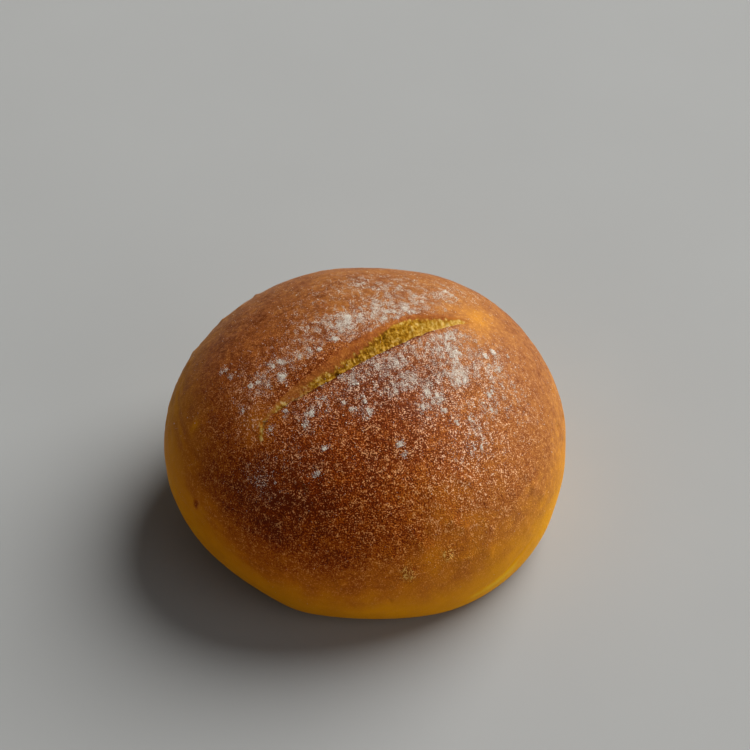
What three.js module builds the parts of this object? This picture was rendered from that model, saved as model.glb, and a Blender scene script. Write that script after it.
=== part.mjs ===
// A round bread bun with one slash across its crown, as one solid.
// Millimetres, +Z up. It stands on z = 0 with the origin under its middle, and its front faces -Y.

import * as THREE from 'three';
import { mergeGeometries, mergeVertices } from 'three/addons/utils/BufferGeometryUtils.js';

// The bun's body
const WIDEST_RADIUS = 38.45; // mean radius at the widest level
const OVALNESS = 0.04; // share by which it is wider along its long axis and narrower across it
const OVAL_TURN = -9; // azimuth of the long axis, in degrees from +X
const HEIGHT = 47.5;
const WIDEST_LEVEL = 17; // height of the widest level above the foot
const FOOT_RADIUS = 32.5; // where the rolled side meets the flat foot
const CROWN_EXPONENT = 2.13; // superellipse above the widest level: 2 is an ellipse
const CROWN_LEAN = { x: 3, y: 2 }; // how far the top of the crown stands off the middle

// Flats along the foot where the dough settled, by azimuth in degrees and distance from the middle
const FOOT_FLATS = [
  { azimuth: -93, distance: 28.9 },
  { azimuth: -144, distance: 26.5 },
];
const FLAT_SOFTNESS = 1.2; // how far a flat's corners are rounded
const SMALLEST_COSINE = 0.05; // directions turned further from a flat than this don't meet it

// A fuller shoulder behind the right end of the slash, placed in distances over the crust
const SHOULDER = { azimuth: 42, distance: 36, height: 0.5, spread: 14 };

// The slash. "Along" runs from its left tail to its right end, "across" from its near lip to its far lip,
// both as distances over the crust from the top of the crown.
const SLASH_TURN = 30; // degrees from +X
const SLASH_NEAR = -6; // the near lip's place across
const SLASH_NEAR_RISE = 0.8; // how far the near lip swings back towards the right end
const SLASH_NEAR_RISE_FROM = -2; // along
const SLASH_NEAR_RISE_TO = 9;
const SLASH_OPENING = 6.2; // between the lips at their widest, in line with the top of the crown
const SLASH_LEFT_REACH = 29; // from there to the left tail
const SLASH_RIGHT_REACH = 19; // and to the right end
const SLASH_TAIL_HOOK = 2; // how far the left tail hooks forward
const SLASH_TAIL_FROM = -33; // along, where the hook ends
const SLASH_TAIL_TO = -22; // and where it starts
const SLASH_DEPTH = 2.3;
const SLASH_DEPTH_FADE = 1.5; // power of the opening by which the slash gets shallow to its ends
const SLASH_WALL_SHARE = 0.22; // share of the opening taken by the steep near wall
const NEAR_LIP_HEIGHT = 0.45;
const FAR_LIP_HEIGHT = 0.6;
const LIP_SPREAD = 4; // how far from its edge a lip's swelling reaches

// The net of facets, laid along the slash
const NET_ALONG = 60;
const NET_ACROSS = 52;
const NET_BAND = 0.2; // share of the rows that lie in the slash
const NET_BAND_LEAST = 1.2; // width that those rows keep past the slash's ends
const NET_CALM = 0.6; // share of the crown's reach inside which the net follows the slash
const MERIDIAN_STEPS = 240;
const SLOPE_STEP = 0.05; // for measuring the crust's slope
const WELD = 1e-3;

const CRUST_COLOUR = '#8c4f1c';
const CRUST_ROUGHNESS = 0.62;

const radians = THREE.MathUtils.degToRad;
const { smoothstep, lerp, clamp } = THREE.MathUtils;

/** A line from the top of the crown down to the foot, as shares of the widest and foot radii. */
function makeMeridian() {
  const points = [];
  for (let step = 0; step <= MERIDIAN_STEPS; step += 1) {
    const turn = (Math.PI / 2) * (1 - step / MERIDIAN_STEPS);
    points.push({
      widest: step === 0 ? 0 : Math.cos(turn) ** (2 / CROWN_EXPONENT),
      foot: 0,
      level: WIDEST_LEVEL + (HEIGHT - WIDEST_LEVEL) * Math.sin(turn) ** (2 / CROWN_EXPONENT),
    });
  }
  for (let step = 1; step <= MERIDIAN_STEPS; step += 1) {
    const turn = (Math.PI / 2) * (1 - step / MERIDIAN_STEPS);
    const widest = Math.sin(turn);
    points.push({ widest, foot: 1 - widest, level: WIDEST_LEVEL * (1 - Math.cos(turn)) });
  }
  const last = points[points.length - 1];
  last.level = 0;
  points[0].distance = 0;
  for (let index = 1; index < points.length; index += 1) {
    const before = points[index - 1];
    const here = points[index];
    const outward = (here.widest - before.widest) * WIDEST_RADIUS + (here.foot - before.foot) * FOOT_RADIUS;
    here.distance = before.distance + Math.hypot(outward, here.level - before.level);
  }
  return points;
}

const MERIDIAN = makeMeridian();
const REACH = MERIDIAN[MERIDIAN.length - 1].distance; // over the crust from the top to the foot

/** The meridian's point at a distance over the crust from the top. */
function meridianAt(distance) {
  const held = clamp(distance, 0, REACH);
  let low = 0;
  let high = MERIDIAN.length - 1;
  while (high - low > 1) {
    const middle = (low + high) >> 1;
    if (MERIDIAN[middle].distance <= held) {
      low = middle;
    } else {
      high = middle;
    }
  }
  const before = MERIDIAN[low];
  const after = MERIDIAN[high];
  const share = (held - before.distance) / (after.distance - before.distance);
  return {
    widest: lerp(before.widest, after.widest, share),
    foot: lerp(before.foot, after.foot, share),
    level: lerp(before.level, after.level, share),
  };
}

/** Radius of the foot in one direction: the round foot, softly cut by its flats. */
function footRadius(azimuth, ovalShare) {
  let radius = FOOT_RADIUS * ovalShare;
  for (const flat of FOOT_FLATS) {
    const cosine = Math.cos(azimuth - radians(flat.azimuth));
    if (cosine > SMALLEST_COSINE) {
      const cut = flat.distance / cosine;
      const blend = Math.exp(-radius / FLAT_SOFTNESS) + Math.exp(-cut / FLAT_SOFTNESS);
      radius = -FLAT_SOFTNESS * Math.log(blend);
    }
  }
  return radius;
}

/** The unslashed bun's surface at a place given along and across the slash. */
function bodyPoint(along, across) {
  const azimuth = Math.atan2(across, along) + radians(SLASH_TURN);
  const ovalShare = 1 + OVALNESS * Math.cos(2 * (azimuth - radians(OVAL_TURN)));
  const here = meridianAt(Math.hypot(along, across));
  const radius = here.widest * WIDEST_RADIUS * ovalShare + here.foot * footRadius(azimuth, ovalShare);
  const lean = Math.max(0, (here.level - WIDEST_LEVEL) / (HEIGHT - WIDEST_LEVEL)) ** 2;
  return new THREE.Vector3(
    radius * Math.cos(azimuth) + CROWN_LEAN.x * lean,
    radius * Math.sin(azimuth) + CROWN_LEAN.y * lean,
    here.level,
  );
}

/** The unit vector that points straight out of the unslashed surface. */
function outward(along, across) {
  const right = bodyPoint(along + SLOPE_STEP, across).sub(bodyPoint(along - SLOPE_STEP, across));
  const back = bodyPoint(along, across + SLOPE_STEP).sub(bodyPoint(along, across - SLOPE_STEP));
  return right.cross(back).normalize();
}

/** Opening of the slash at a place along it: 1 at its widest, 0 at and past its ends. */
function slashShare(along) {
  const reach = along > 0 ? SLASH_RIGHT_REACH : SLASH_LEFT_REACH;
  return Math.max(0, 1 - (along / reach) ** 2);
}

/** Place across of the near lip. */
function nearLip(along) {
  const rise = SLASH_NEAR_RISE * smoothstep(along, SLASH_NEAR_RISE_FROM, SLASH_NEAR_RISE_TO);
  const hook = SLASH_TAIL_HOOK * (1 - smoothstep(along, SLASH_TAIL_FROM, SLASH_TAIL_TO));
  return SLASH_NEAR + rise - hook;
}

/** Height of the crust above the unslashed surface: the floor of the slash, its two lips, the shoulder. */
function crustHeight(along, across) {
  const share = slashShare(along);
  const opening = SLASH_OPENING * share;
  const near = nearLip(along);
  const fromNear = Math.max(0, near - across) / LIP_SPREAD;
  const fromFar = Math.max(0, across - near - opening) / LIP_SPREAD;
  let height = 0;
  if (fromFar > 0) {
    height += FAR_LIP_HEIGHT * share * Math.exp(-(fromFar ** 2));
  } else if (fromNear > 0) {
    height += NEAR_LIP_HEIGHT * share * Math.exp(-(fromNear ** 2));
  } else if (share > 0) {
    const place = clamp((across - near) / opening, 0, 1);
    const fall = smoothstep(place, 0, SLASH_WALL_SHARE);
    const climb = smoothstep(place, SLASH_WALL_SHARE, 1);
    const floor = lerp(-SLASH_DEPTH * share ** SLASH_DEPTH_FADE, FAR_LIP_HEIGHT * share, climb);
    height += lerp(NEAR_LIP_HEIGHT * share, floor, fall);
  }
  const shoulderTurn = radians(SHOULDER.azimuth - SLASH_TURN);
  const offAlong = along - SHOULDER.distance * Math.cos(shoulderTurn);
  const offAcross = across - SHOULDER.distance * Math.sin(shoulderTurn);
  const offShare = (offAlong ** 2 + offAcross ** 2) / SHOULDER.spread ** 2;
  return height + SHOULDER.height * Math.exp(-offShare);
}

/**
 * Lays the square net, with both coordinates from -1 to 1, over the round crown: its edge becomes the
 * foot's edge, and its middle rows run along the slash from lip to lip.
 */
function netPlace(columnPlace, rowPlace) {
  const side = Math.sign(rowPlace);
  const fromBand = Math.max(0, (Math.abs(rowPlace) - NET_BAND) / (1 - NET_BAND));
  const bandShare = SLASH_OPENING / 2 / REACH;
  const inBand = Math.min(1, Math.abs(rowPlace) / NET_BAND);
  const row = side * lerp(bandShare * inBand, 1, fromBand);
  const along = REACH * columnPlace * Math.sqrt(1 - row ** 2 / 2);
  const across = REACH * row * Math.sqrt(1 - columnPlace ** 2 / 2);

  const opening = SLASH_OPENING * slashShare(along);
  const middle = nearLip(along) + opening / 2;
  const halfBand = Math.hypot(opening, NET_BAND_LEAST * (1 - slashShare(along))) / 2;
  const plainLip = side * REACH * bandShare * Math.sqrt(1 - columnPlace ** 2 / 2);
  const lipShift = middle + side * halfBand - plainLip;
  const followed = fromBand > 0
    ? across + lipShift * (1 - smoothstep(fromBand, 0, NET_CALM))
    : middle + side * inBand * halfBand;
  const calm = 1 - smoothstep(Math.hypot(along, across) / REACH, NET_CALM, 1);
  return { along, across: lerp(across, followed, calm) };
}

/** The whole upper surface, from the foot's edge over the crown. */
function makeCrust() {
  const net = new THREE.PlaneGeometry(2, 2, NET_ALONG, NET_ACROSS);
  const places = net.getAttribute('position');
  for (let index = 0; index < places.count; index += 1) {
    const edge = Math.max(Math.abs(places.getX(index)), Math.abs(places.getY(index))) > 1 - WELD;
    const { along, across } = netPlace(places.getX(index), places.getY(index));
    const point = bodyPoint(along, across);
    if (!edge) {
      point.addScaledVector(outward(along, across), crustHeight(along, across));
    } else {
      point.z = 0;
    }
    places.setXYZ(index, point.x, point.y, point.z);
  }
  return net;
}

/** The rim of the net as indices, counter-clockwise seen from above. */
function rimIndices() {
  const rowLength = NET_ALONG + 1;
  const rim = [];
  for (let column = 0; column < NET_ALONG; column += 1) {
    rim.push(NET_ACROSS * rowLength + column);
  }
  for (let row = NET_ACROSS; row > 0; row -= 1) {
    rim.push(row * rowLength + NET_ALONG);
  }
  for (let column = NET_ALONG; column > 0; column -= 1) {
    rim.push(column);
  }
  for (let row = 0; row < NET_ACROSS; row += 1) {
    rim.push(row * rowLength);
  }
  return rim;
}

/** The flat foot: a disc whose rim is the crust's own rim, facing down. */
function makeFoot(crust) {
  const rim = rimIndices();
  const disc = new THREE.CircleGeometry(1, rim.length);
  const places = disc.getAttribute('position');
  const crustPlaces = crust.getAttribute('position');
  for (let index = 0; index <= rim.length; index += 1) {
    const source = rim[index % rim.length];
    places.setXYZ(index + 1, crustPlaces.getX(source), crustPlaces.getY(source), 0);
  }
  const corners = disc.getIndex();
  for (let first = 0; first < corners.count; first += 3) {
    const second = corners.getX(first + 1);
    corners.setX(first + 1, corners.getX(first + 2));
    corners.setX(first + 2, second);
  }
  return disc;
}

/** Crust and foot joined into one closed body. */
function makeBun() {
  const crust = makeCrust();
  const joined = mergeGeometries([crust, makeFoot(crust)]);
  joined.deleteAttribute('normal');
  joined.deleteAttribute('uv');
  const closed = mergeVertices(joined, WELD);
  closed.computeVertexNormals();
  return closed;
}

const crustMaterial = new THREE.MeshStandardMaterial({
  color: CRUST_COLOUR,
  roughness: CRUST_ROUGHNESS,
  metalness: 0,
});

const bun = new THREE.Mesh(makeBun(), crustMaterial);
bun.name = 'bun';

const model = new THREE.Group();
model.add(bun);

export default model;
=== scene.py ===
"""Looks of a round bread bun with one open slash and a dusting of flour.

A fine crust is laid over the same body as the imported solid, with the torn crumb of the slash, the
lumps, wrinkles, blisters and pocks of the crust, and loose flour on its crown. The bun stands on a
plain pale floor in soft light.

Shapes are worked out in millimetres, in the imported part's frame, and become metres when a mesh is
made. "Along" runs with the slash from its left tail to its right end, "across" from its near lip to
its far lip, and both are distances over the crust from the top of the crown. A span, an edge or a
pair of limits names the values between which something comes in by an eased step.
"""

from __future__ import annotations

import logging
import math
from dataclasses import dataclass, field
from enum import Enum
from functools import cached_property
from typing import Any

import bpy
import numpy as np
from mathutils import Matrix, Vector
from numpy.typing import NDArray

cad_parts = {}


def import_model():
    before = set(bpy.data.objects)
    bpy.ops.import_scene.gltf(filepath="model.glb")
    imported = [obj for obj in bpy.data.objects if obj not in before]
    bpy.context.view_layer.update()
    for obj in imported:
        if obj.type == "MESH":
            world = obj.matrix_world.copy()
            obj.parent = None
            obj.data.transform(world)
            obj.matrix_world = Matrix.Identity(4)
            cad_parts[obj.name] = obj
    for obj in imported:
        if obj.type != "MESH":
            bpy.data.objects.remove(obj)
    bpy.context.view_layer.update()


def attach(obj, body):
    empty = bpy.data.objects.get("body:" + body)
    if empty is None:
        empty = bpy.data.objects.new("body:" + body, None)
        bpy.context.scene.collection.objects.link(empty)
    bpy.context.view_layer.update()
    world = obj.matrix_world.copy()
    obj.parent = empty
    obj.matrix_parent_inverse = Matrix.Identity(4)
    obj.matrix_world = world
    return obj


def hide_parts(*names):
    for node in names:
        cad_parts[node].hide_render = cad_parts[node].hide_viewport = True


Floats = NDArray[np.float64]
Whole = NDArray[np.int64]
Pair = tuple[float, float]
Pairs = tuple[Pair, ...]
Triple = tuple[float, float, float]
Four = tuple[float, float, float, float]
Patches = tuple[tuple[float, float, float, float, float], ...]
Colour = Triple
Stops = tuple[tuple[float, Colour], ...]  # of a ramp: places and their colours

log = logging.getLogger("bun")

METRES = 0.001  # in a millimetre
MAP_NAME = "OFBake"  # the crust's own map, on which its finish can be kept as pictures
LEAST_OPENING = 1e-6  # that a way across is divided by
NOISE_MIDDLE = 0.5  # of the finishes' noises
EVEN_ROUGHNESS = 0.5  # of a noise with no stress on its fine layers

# The hash that gives a lattice corner its slope
HASH_PRIMES = np.array([374761393, 668265263, 2246822519], np.uint64)
HASH_SEED_PRIME = 3266489917
HASH_SHIFTS = (15, 13)
HASH_LAST_SHIFT = np.uint64(16)
HASH_WORD = np.uint64(0xFFFFFFFF)
SLOPE_BITS = 10
SLOPE_TOP = (1 << SLOPE_BITS) - 1


class Slot(str, Enum):
    """Material slot names, crust and flour."""

    CRUST = "crust"
    FLOUR = "flour"


class Channel(str, Enum):
    """What the crust knows at each of its points."""

    BAKE = "bake"  # 0 pale dough to 1 dark brown, with a painted shadow line at the near lip
    CRUMB = "crumb"  # 1 where the torn inside shows
    DUST = "dust"  # how thick the finest flour lies, with a film that also paints part of the lamp's sheen
    GRAIN = "grain"  # how strongly the crust's fine grain, its painted glints and its painted fine shade show, above 1 where it flaked
    RUDDY = "ruddy"  # 1 where the crust browned to red, 0 where to tan, which partly paints the lamp's sheen
    ALONG = "along"  # metres with the slash
    ACROSS = "across"  # metres over the slash


class Edge(float, Enum):
    """Lines of the slash that stray, each by its own part of a noise."""

    NEAR = -1.0
    FAR = 1.0
    CRUMB = 2.0
    THREAD = 3.0


class Pattern(Enum):
    """Fine noises of the crust's finish."""

    MOTTLE = "mottle"
    SPECK = "speck"
    GRAIN = "grain"
    FLECK = "fleck"
    TEAR = "tear"
    STREAK = "streak"


def smoothstep(value: Floats, low: float | Floats, high: float | Floats) -> Floats:
    """Eased step: 0 below low, 1 above high, and 3t2 - 2t3 of the share t between them."""
    share = np.clip((value - low) / (high - low), 0.0, 1.0)
    return share * share * (3.0 - 2.0 * share)


def plateau(value: Floats, limits: Four) -> Floats:
    """Eased rise from 0 to 1 between the first two limits, and fall between the last two."""
    return smoothstep(value, *limits[:2]) * (1.0 - smoothstep(value, *limits[2:]))


def hump(distance: Floats, spread: float | Floats) -> Floats:
    """Bell of height 1: e to the minus square of distance over spread."""
    return np.exp(-((distance / spread) ** 2))


def lerp(first: Any, second: Any, share: Any) -> Any:
    """First plus share of the way to second."""
    return first + (second - first) * share


def joined(value: Floats, table: Pairs, period: float | None = None) -> Floats:
    """A table's second numbers, joined by straight lines over its first numbers."""
    places, listed = np.array(table).T
    return np.interp(value, places, listed, period=period)


def unit(vectors: Floats) -> Floats:
    """Vectors divided by their own lengths."""
    return vectors / np.linalg.norm(vectors, axis=-1, keepdims=True)


def metres(span: Pair) -> Pair:
    """A span of millimetres in metres."""
    return span[0] * METRES, span[1] * METRES


@dataclass(frozen=True)
class Noise:
    """A smooth random field in space that is the same on every run, from about -1 to 1.

    Every corner of a lattice of unit cells has a slope that comes from a hash of its whole-number
    place. Inside a cell the field is the blend of its eight corners, each giving its slope times
    the way from that corner, by the fade 6t5 - 15t4 + 10t3.
    """

    seed: int
    gain: float = 1.6
    layer_shift: float = 17.3  # between the places of one layer and the next

    def slopes(self, cells: Whole) -> Floats:
        """Random slopes of lattice corners.

        Args:
            cells: Whole-number places, three to each corner.

        Returns:
            Three numbers from -1 to 1 for each corner.
        """
        mixed = (cells.astype(np.uint64) * HASH_PRIMES).sum(-1)
        mixed = (mixed + np.uint64(self.seed * HASH_SEED_PRIME)) & HASH_WORD
        for shift in HASH_SHIFTS:
            mixed = ((mixed ^ (mixed >> np.uint64(shift))) * HASH_PRIMES[-1]) & HASH_WORD
        mixed ^= mixed >> HASH_LAST_SHIFT
        parts = [mixed >> np.uint64(SLOPE_BITS * way) & np.uint64(SLOPE_TOP) for way in range(3)]
        return np.stack(parts, -1) / (SLOPE_TOP / 2) - 1.0

    def at(self, places: Floats, wave: float | Triple = 1.0) -> Floats:
        """The field at places in space.

        Args:
            places: Points, three numbers each.
            wave: Size of the lattice's cells, one for all ways or one for each.

        Returns:
            One number for each point.
        """
        scaled = places / np.asarray(wave, np.float64)
        cells = np.floor(scaled)
        part = scaled - cells
        fade = part**3 * (part * (part * 6.0 - 15.0) + 10.0)
        cells = cells.astype(np.int64)
        total = np.zeros(places.shape[:-1])
        for corner in np.ndindex(2, 2, 2):
            weight = np.where(np.array(corner, bool), fade, 1.0 - fade).prod(-1)
            total += weight * (self.slopes(cells + corner) * (part - corner)).sum(-1)
        return self.gain * total

    def layered(self, places: Floats, wave: float, layers: int) -> Floats:
        """Sum of the field at halving waves, each layer half as strong as the one before."""
        shift = self.layer_shift
        return sum(self.at(places + shift * n, wave / 2**n) / 2**n for n in range(layers))


@dataclass(frozen=True)
class BunBody:
    """The unslashed bun: a leaning dome over a rolled lower side with two flats at its foot."""

    widest_radius: float = 38.45
    ovalness: float = 0.04
    oval_turn: float = math.radians(-9)
    height: float = 47.5
    widest_level: float = 17.0
    foot_radius: float = 32.5
    crown_exponent: float = 2.13
    crown_lean: Pair = (3.0, 2.0)
    foot_flats: Pairs = ((math.radians(-93), 28.9), (math.radians(-144), 26.5))  # turn, distance
    flat_softness: float = 1.2
    smallest_cosine: float = 0.05
    turn: float = math.radians(30)  # of the slash, from +X
    steps: int = 480

    @cached_property
    def meridian(self) -> tuple[Floats, Floats, Floats, Floats]:
        """A line from the top down to the foot.

        Above the widest level it is a superellipse, below it a quarter ellipse that meets the foot
        flat.

        Returns:
            Distance over the crust, share of the widest radius, share of the foot's radius, level.
        """
        turn = np.linspace(np.pi / 2, 0.0, self.steps)
        power = 2.0 / self.crown_exponent
        crown = np.abs(np.cos(turn)) ** power
        crown[0] = 0.0
        crown_level = lerp(self.widest_level, self.height, np.abs(np.sin(turn)) ** power)
        roll = np.sin(turn)[1:]
        roll_level = self.widest_level * (1.0 - np.cos(turn))[1:]
        widest = np.concatenate([crown, roll])
        foot = np.concatenate([0.0 * crown, 1.0 - roll])
        level = np.concatenate([crown_level, roll_level])
        level[-1] = 0.0
        out = widest * self.widest_radius + foot * self.foot_radius
        steps = np.hypot(np.diff(out), np.diff(level))
        return np.concatenate([[0.0], np.cumsum(steps)]), widest, foot, level

    @property
    def reach(self) -> float:
        """Distance over the crust from the top to the foot's edge."""
        return float(self.meridian[0][-1])

    def point(self, along: Floats, across: Floats) -> Floats:
        """Points of the surface: the meridian at hypot(along, across), turned to their azimuth.

        Args:
            along: Distances with the slash.
            across: Distances over it.

        Returns:
            Places in space, three numbers to each point.
        """
        azimuth = np.arctan2(across, along) + self.turn
        distance, *columns = self.meridian
        held = np.hypot(along, across)
        widest, foot, level = (np.interp(held, distance, column) for column in columns)
        oval = 1.0 + self.ovalness * np.cos(2.0 * (azimuth - self.oval_turn))
        foot_radius = self.foot_radius * oval
        for flat_turn, flat_distance in self.foot_flats:
            cosine = np.cos(azimuth - flat_turn)
            cut = flat_distance / np.maximum(cosine, self.smallest_cosine)
            soft = -np.logaddexp(-foot_radius / self.flat_softness, -cut / self.flat_softness)
            shown = cosine > self.smallest_cosine
            foot_radius = np.where(shown, soft * self.flat_softness, foot_radius)
        radius = widest * self.widest_radius * oval + foot * foot_radius
        above = (level - self.widest_level) / (self.height - self.widest_level)
        lean = np.maximum(0.0, above) ** 2
        right = radius * np.cos(azimuth) + self.crown_lean[0] * lean
        back = radius * np.sin(azimuth) + self.crown_lean[1] * lean
        return np.stack([right, back, level], -1)

    def frame(self, along: Floats, across: Floats, step: float = 0.05) -> tuple[Floats, Floats]:
        """Directions at points of the surface, from its slopes.

        Args:
            along: Distances with the slash.
            across: Distances over it.
            step: How far apart the slopes are measured.

        Returns:
            Unit vectors straight out of the surface, and others in it that point over the slash.
        """
        right = self.point(along + step, across) - self.point(along - step, across)
        back = self.point(along, across + step) - self.point(along, across - step)
        out = unit(np.cross(right, back))
        return out, unit(np.cross(out, right))


@dataclass(frozen=True)
class Places:
    """Places on the unslashed bun."""

    body: BunBody
    along: Floats
    across: Floats

    @cached_property
    def points(self) -> Floats:
        """The same places in space."""
        return self.body.point(self.along, self.across)

    @cached_property
    def distance(self) -> Floats:
        """Distances over the crust from the top of the crown."""
        return np.hypot(self.along, self.across)

    @cached_property
    def azimuth(self) -> Floats:
        """Turns round the bun from +X."""
        return np.arctan2(self.across, self.along) + self.body.turn

    def way_from(self, along: float, across: float) -> Floats:
        """Distances over the crust from one place."""
        return np.hypot(self.along - along, self.across - across)


def bells(at: Places, table: tuple[Four, ...]) -> Floats:
    """Sum of listed bells, each by its place along and across, its spread and its height."""
    return sum(high * hump(at.way_from(*place), wide) for *place, wide, high in table)


@dataclass(frozen=True)
class Inside:
    """Where places lie in the slash."""

    share: Floats  # of the full opening, at their place along
    place: Floats  # way across from the near lip (0) to the far lip (1), unbounded
    opening: Floats

    @cached_property
    def from_near(self) -> Floats:
        """Distance behind the near lip."""
        return self.place * self.opening

    @cached_property
    def from_far(self) -> Floats:
        """Distance before the far lip."""
        return (1.0 - self.place) * self.opening


@dataclass(frozen=True)
class Slash:
    """The open slash: a crisp near lip that overhangs, a torn floor, a wall up to the far lip."""

    near: float = -6.65
    near_rise: float = 1.2
    near_rise_span: Pair = (-5.0, 8.5)
    opening: float = 5.9
    left_reach: float = 31.0
    right_reach: float = 19.0
    tail_power: float = 1.3  # by which the opening narrows to the left
    tail_rise: float = 1.9  # how far the tail swings back
    tail_span: Pair = (-26.0, -12.0)
    hook: float = 2.8  # how far its end turns forward
    hook_span: Pair = (-31.0, -27.5)
    depth: float = 2.3
    depth_fade: float = 1.5
    wall_share: float = 0.2  # of the way across, in which the near wall falls
    climb_start: float = 0.7  # share of that wall at which the climb to the far lip starts
    near_lip_height: float = 0.45
    far_lip_height: float = 0.6
    lip_spread: float = 4.0
    overhang: float = 0.7  # how far the floor reaches back under the near lip
    under_power: int = 6
    under_peak: float = 0.0567  # greatest of u (1 - u)^6
    ragged: float = 0.14  # how far the lips stray from their clean lines
    ragged_wave: float = 2.2
    ragged_gap: float = 40.0  # between the parts of the noise that move two lines
    crumb_span: Pair = (-21.5, -14.0)  # along which the torn crumb comes in from the tail
    crumb_stray: float = 12.0  # how much further than a lip that end strays
    crumb_share: Pair = (0.12, 0.4)  # of the opening, at which crumb comes in
    near_edge: Pair = (0.0, 0.06)  # way across over which the near lip ends
    far_edge: Pair = (0.0, 0.5)  # distance before the far lip over which it ends
    cut_share: Pair = (0.0, 0.2)  # of the opening, at which the crust counts as cut
    skin_span: Pair = (-25.0, -16.0)  # along which the tail's skin ends
    thread: float = 0.9  # how much crumb shows as a thread in the tail
    thread_span: Four = (-30.8, -30.0, -19.5, -16.5)  # along which it comes and goes
    thread_place: float = 0.35  # behind the near lip
    thread_width: float = 0.7
    thread_whole: float = 0.85
    thread_break: float = 0.6
    slope_step: float = 0.1
    # Width of the browned band under the far lip, by distance along
    toast: Pairs = (
        (-20.0, 0.5), (-16.0, 1.6), (-13.0, 2.1), (-8.5, 2.3), (-5.0, 2.0), (-2.5, 1.7),
        (0.5, 1.2), (3.0, 1.0), (6.0, 1.1), (9.0, 1.35), (12.5, 1.2), (16.5, 0.4),
    )
    toast_edge: Pair = (0.4, 1.6)  # of that width, over which the band turns to crumb
    noise: Noise = Noise(11)

    def share(self, along: Floats) -> Floats:
        """Share of the full opening: 1 less the square of the way to the end, powered at the left.

        Args:
            along: Distances with the slash.

        Returns:
            1 at the middle to 0 at both ends.
        """
        right = np.maximum(0.0, 1.0 - (along / self.right_reach) ** 2)
        left = np.maximum(0.0, 1.0 - (along / self.left_reach) ** 2) ** self.tail_power
        return np.where(along > 0.0, right, left)

    def stray(self, along: Floats, line: Edge) -> Floats:
        """How far a line strays: noise along it, another part of the noise for each line.

        Args:
            along: Distances with the slash.
            line: The line that strays.

        Returns:
            Millimetres over the slash.
        """
        part = np.full_like(along, self.ragged_gap * line.value)
        places = np.stack([along, part, np.zeros_like(along)], -1)
        return self.ragged * self.noise.layered(places, self.ragged_wave, layers=3)

    def near_lip(self, along: Floats) -> Floats:
        """Place across of the near lip: it swings back to both ends, and its tail turns forward.

        Args:
            along: Distances with the slash.

        Returns:
            Distances over the slash of the lip's clean line.
        """
        right = self.near_rise * smoothstep(along, *self.near_rise_span)
        left = self.tail_rise * (1.0 - smoothstep(along, *self.tail_span))
        hook = self.hook * (1.0 - smoothstep(along, *self.hook_span))
        return self.near + right + left - hook

    def inside(self, at: Places) -> Inside:
        """Where places lie between the strayed lips.

        Args:
            at: Places on the bun.

        Returns:
            Their shares of the opening and their ways across it.
        """
        share = self.share(at.along)
        lip, ends = self.near_lip(at.along), np.sqrt(share)
        near = lip + self.stray(at.along, Edge.NEAR) * ends
        far = lip + self.opening * share + self.stray(at.along, Edge.FAR) * ends
        opening = np.maximum(far - near, LEAST_OPENING)
        return Inside(share, (at.across - near) / opening, opening)

    def section(self, inside: Inside) -> tuple[Floats, Floats]:
        """The slash's own shape over the unslashed surface.

        From the near lip the wall falls to the floor within the wall's share, pushed back under the
        lip on its way; the floor then climbs in an eased step to the far lip. Past either lip its
        swelling dies off as a bell.

        Args:
            inside: Where the places lie in the slash.

        Returns:
            Height over the surface, and the push across.
        """
        share, place = inside.share, inside.place
        held = np.clip(place, 0.0, 1.0)
        near_height, far_height = self.near_lip_height * share, self.far_lip_height * share
        climb = smoothstep(held, self.wall_share * self.climb_start, 1.0)
        floor = lerp(-self.depth * share**self.depth_fade, far_height, climb)
        cut = lerp(near_height, floor, smoothstep(held, 0.0, self.wall_share))
        before = near_height * hump(inside.from_near, self.lip_spread)
        past = far_height * hump(inside.from_far, self.lip_spread)
        height = np.where(share > 0.0, cut, 0.0)
        height = np.where(place < 0.0, before, np.where(place > 1.0, past, height))
        under = held * (1.0 - held) ** self.under_power / self.under_peak
        push = np.where((place > 0.0) & (place < 1.0), -self.overhang * share * under, 0.0)
        return height, push

    def cut(self, inside: Inside) -> Floats:
        """How far the crust is cut away, by the ways from both lips and the opening.

        Args:
            inside: Where the places lie in the slash.

        Returns:
            0 outside the lips to 1 between them.
        """
        lips = smoothstep(inside.from_far, *self.far_edge)
        lips *= smoothstep(inside.place, *self.near_edge)
        return lips * smoothstep(inside.share, *self.cut_share)

    def thread_at(self, at: Places) -> Floats:
        """How much crumb the tail shows: a broken thread that follows the near lip.

        Args:
            at: Places on the bun.

        Returns:
            A bell of the way from the thread's line, over the slope of that line.
        """
        along, step = at.along, self.slope_step
        slope = (self.near_lip(along + step) - self.near_lip(along - step)) / (2.0 * step)
        way = (at.across - self.near_lip(along) - self.thread_place) / np.hypot(1.0, slope)
        stray = self.stray(along, Edge.THREAD) / self.ragged
        whole = np.clip(self.thread_whole + self.thread_break * stray, 0.0, 1.0)
        shown = self.thread * whole * plateau(along, self.thread_span)
        return shown * hump(way, self.thread_width)

    def torn(self, at: Places, inside: Inside) -> Floats:
        """How much torn crumb shows: below the browned band, and as a thread in the tail.

        Args:
            at: Places on the bun.
            inside: Where they lie in the slash.

        Returns:
            0 skin to 1 crumb.
        """
        toast = joined(at.along, self.toast)
        low, high = self.toast_edge
        below = smoothstep(inside.from_far, toast * low, toast * high)
        crumb = smoothstep(inside.place, *self.near_edge) * below
        crumb *= smoothstep(inside.share, *self.crumb_share)
        end = at.along + self.stray(at.along, Edge.CRUMB) * self.crumb_stray
        return np.maximum(crumb * smoothstep(end, *self.crumb_span), self.thread_at(at))


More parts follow.
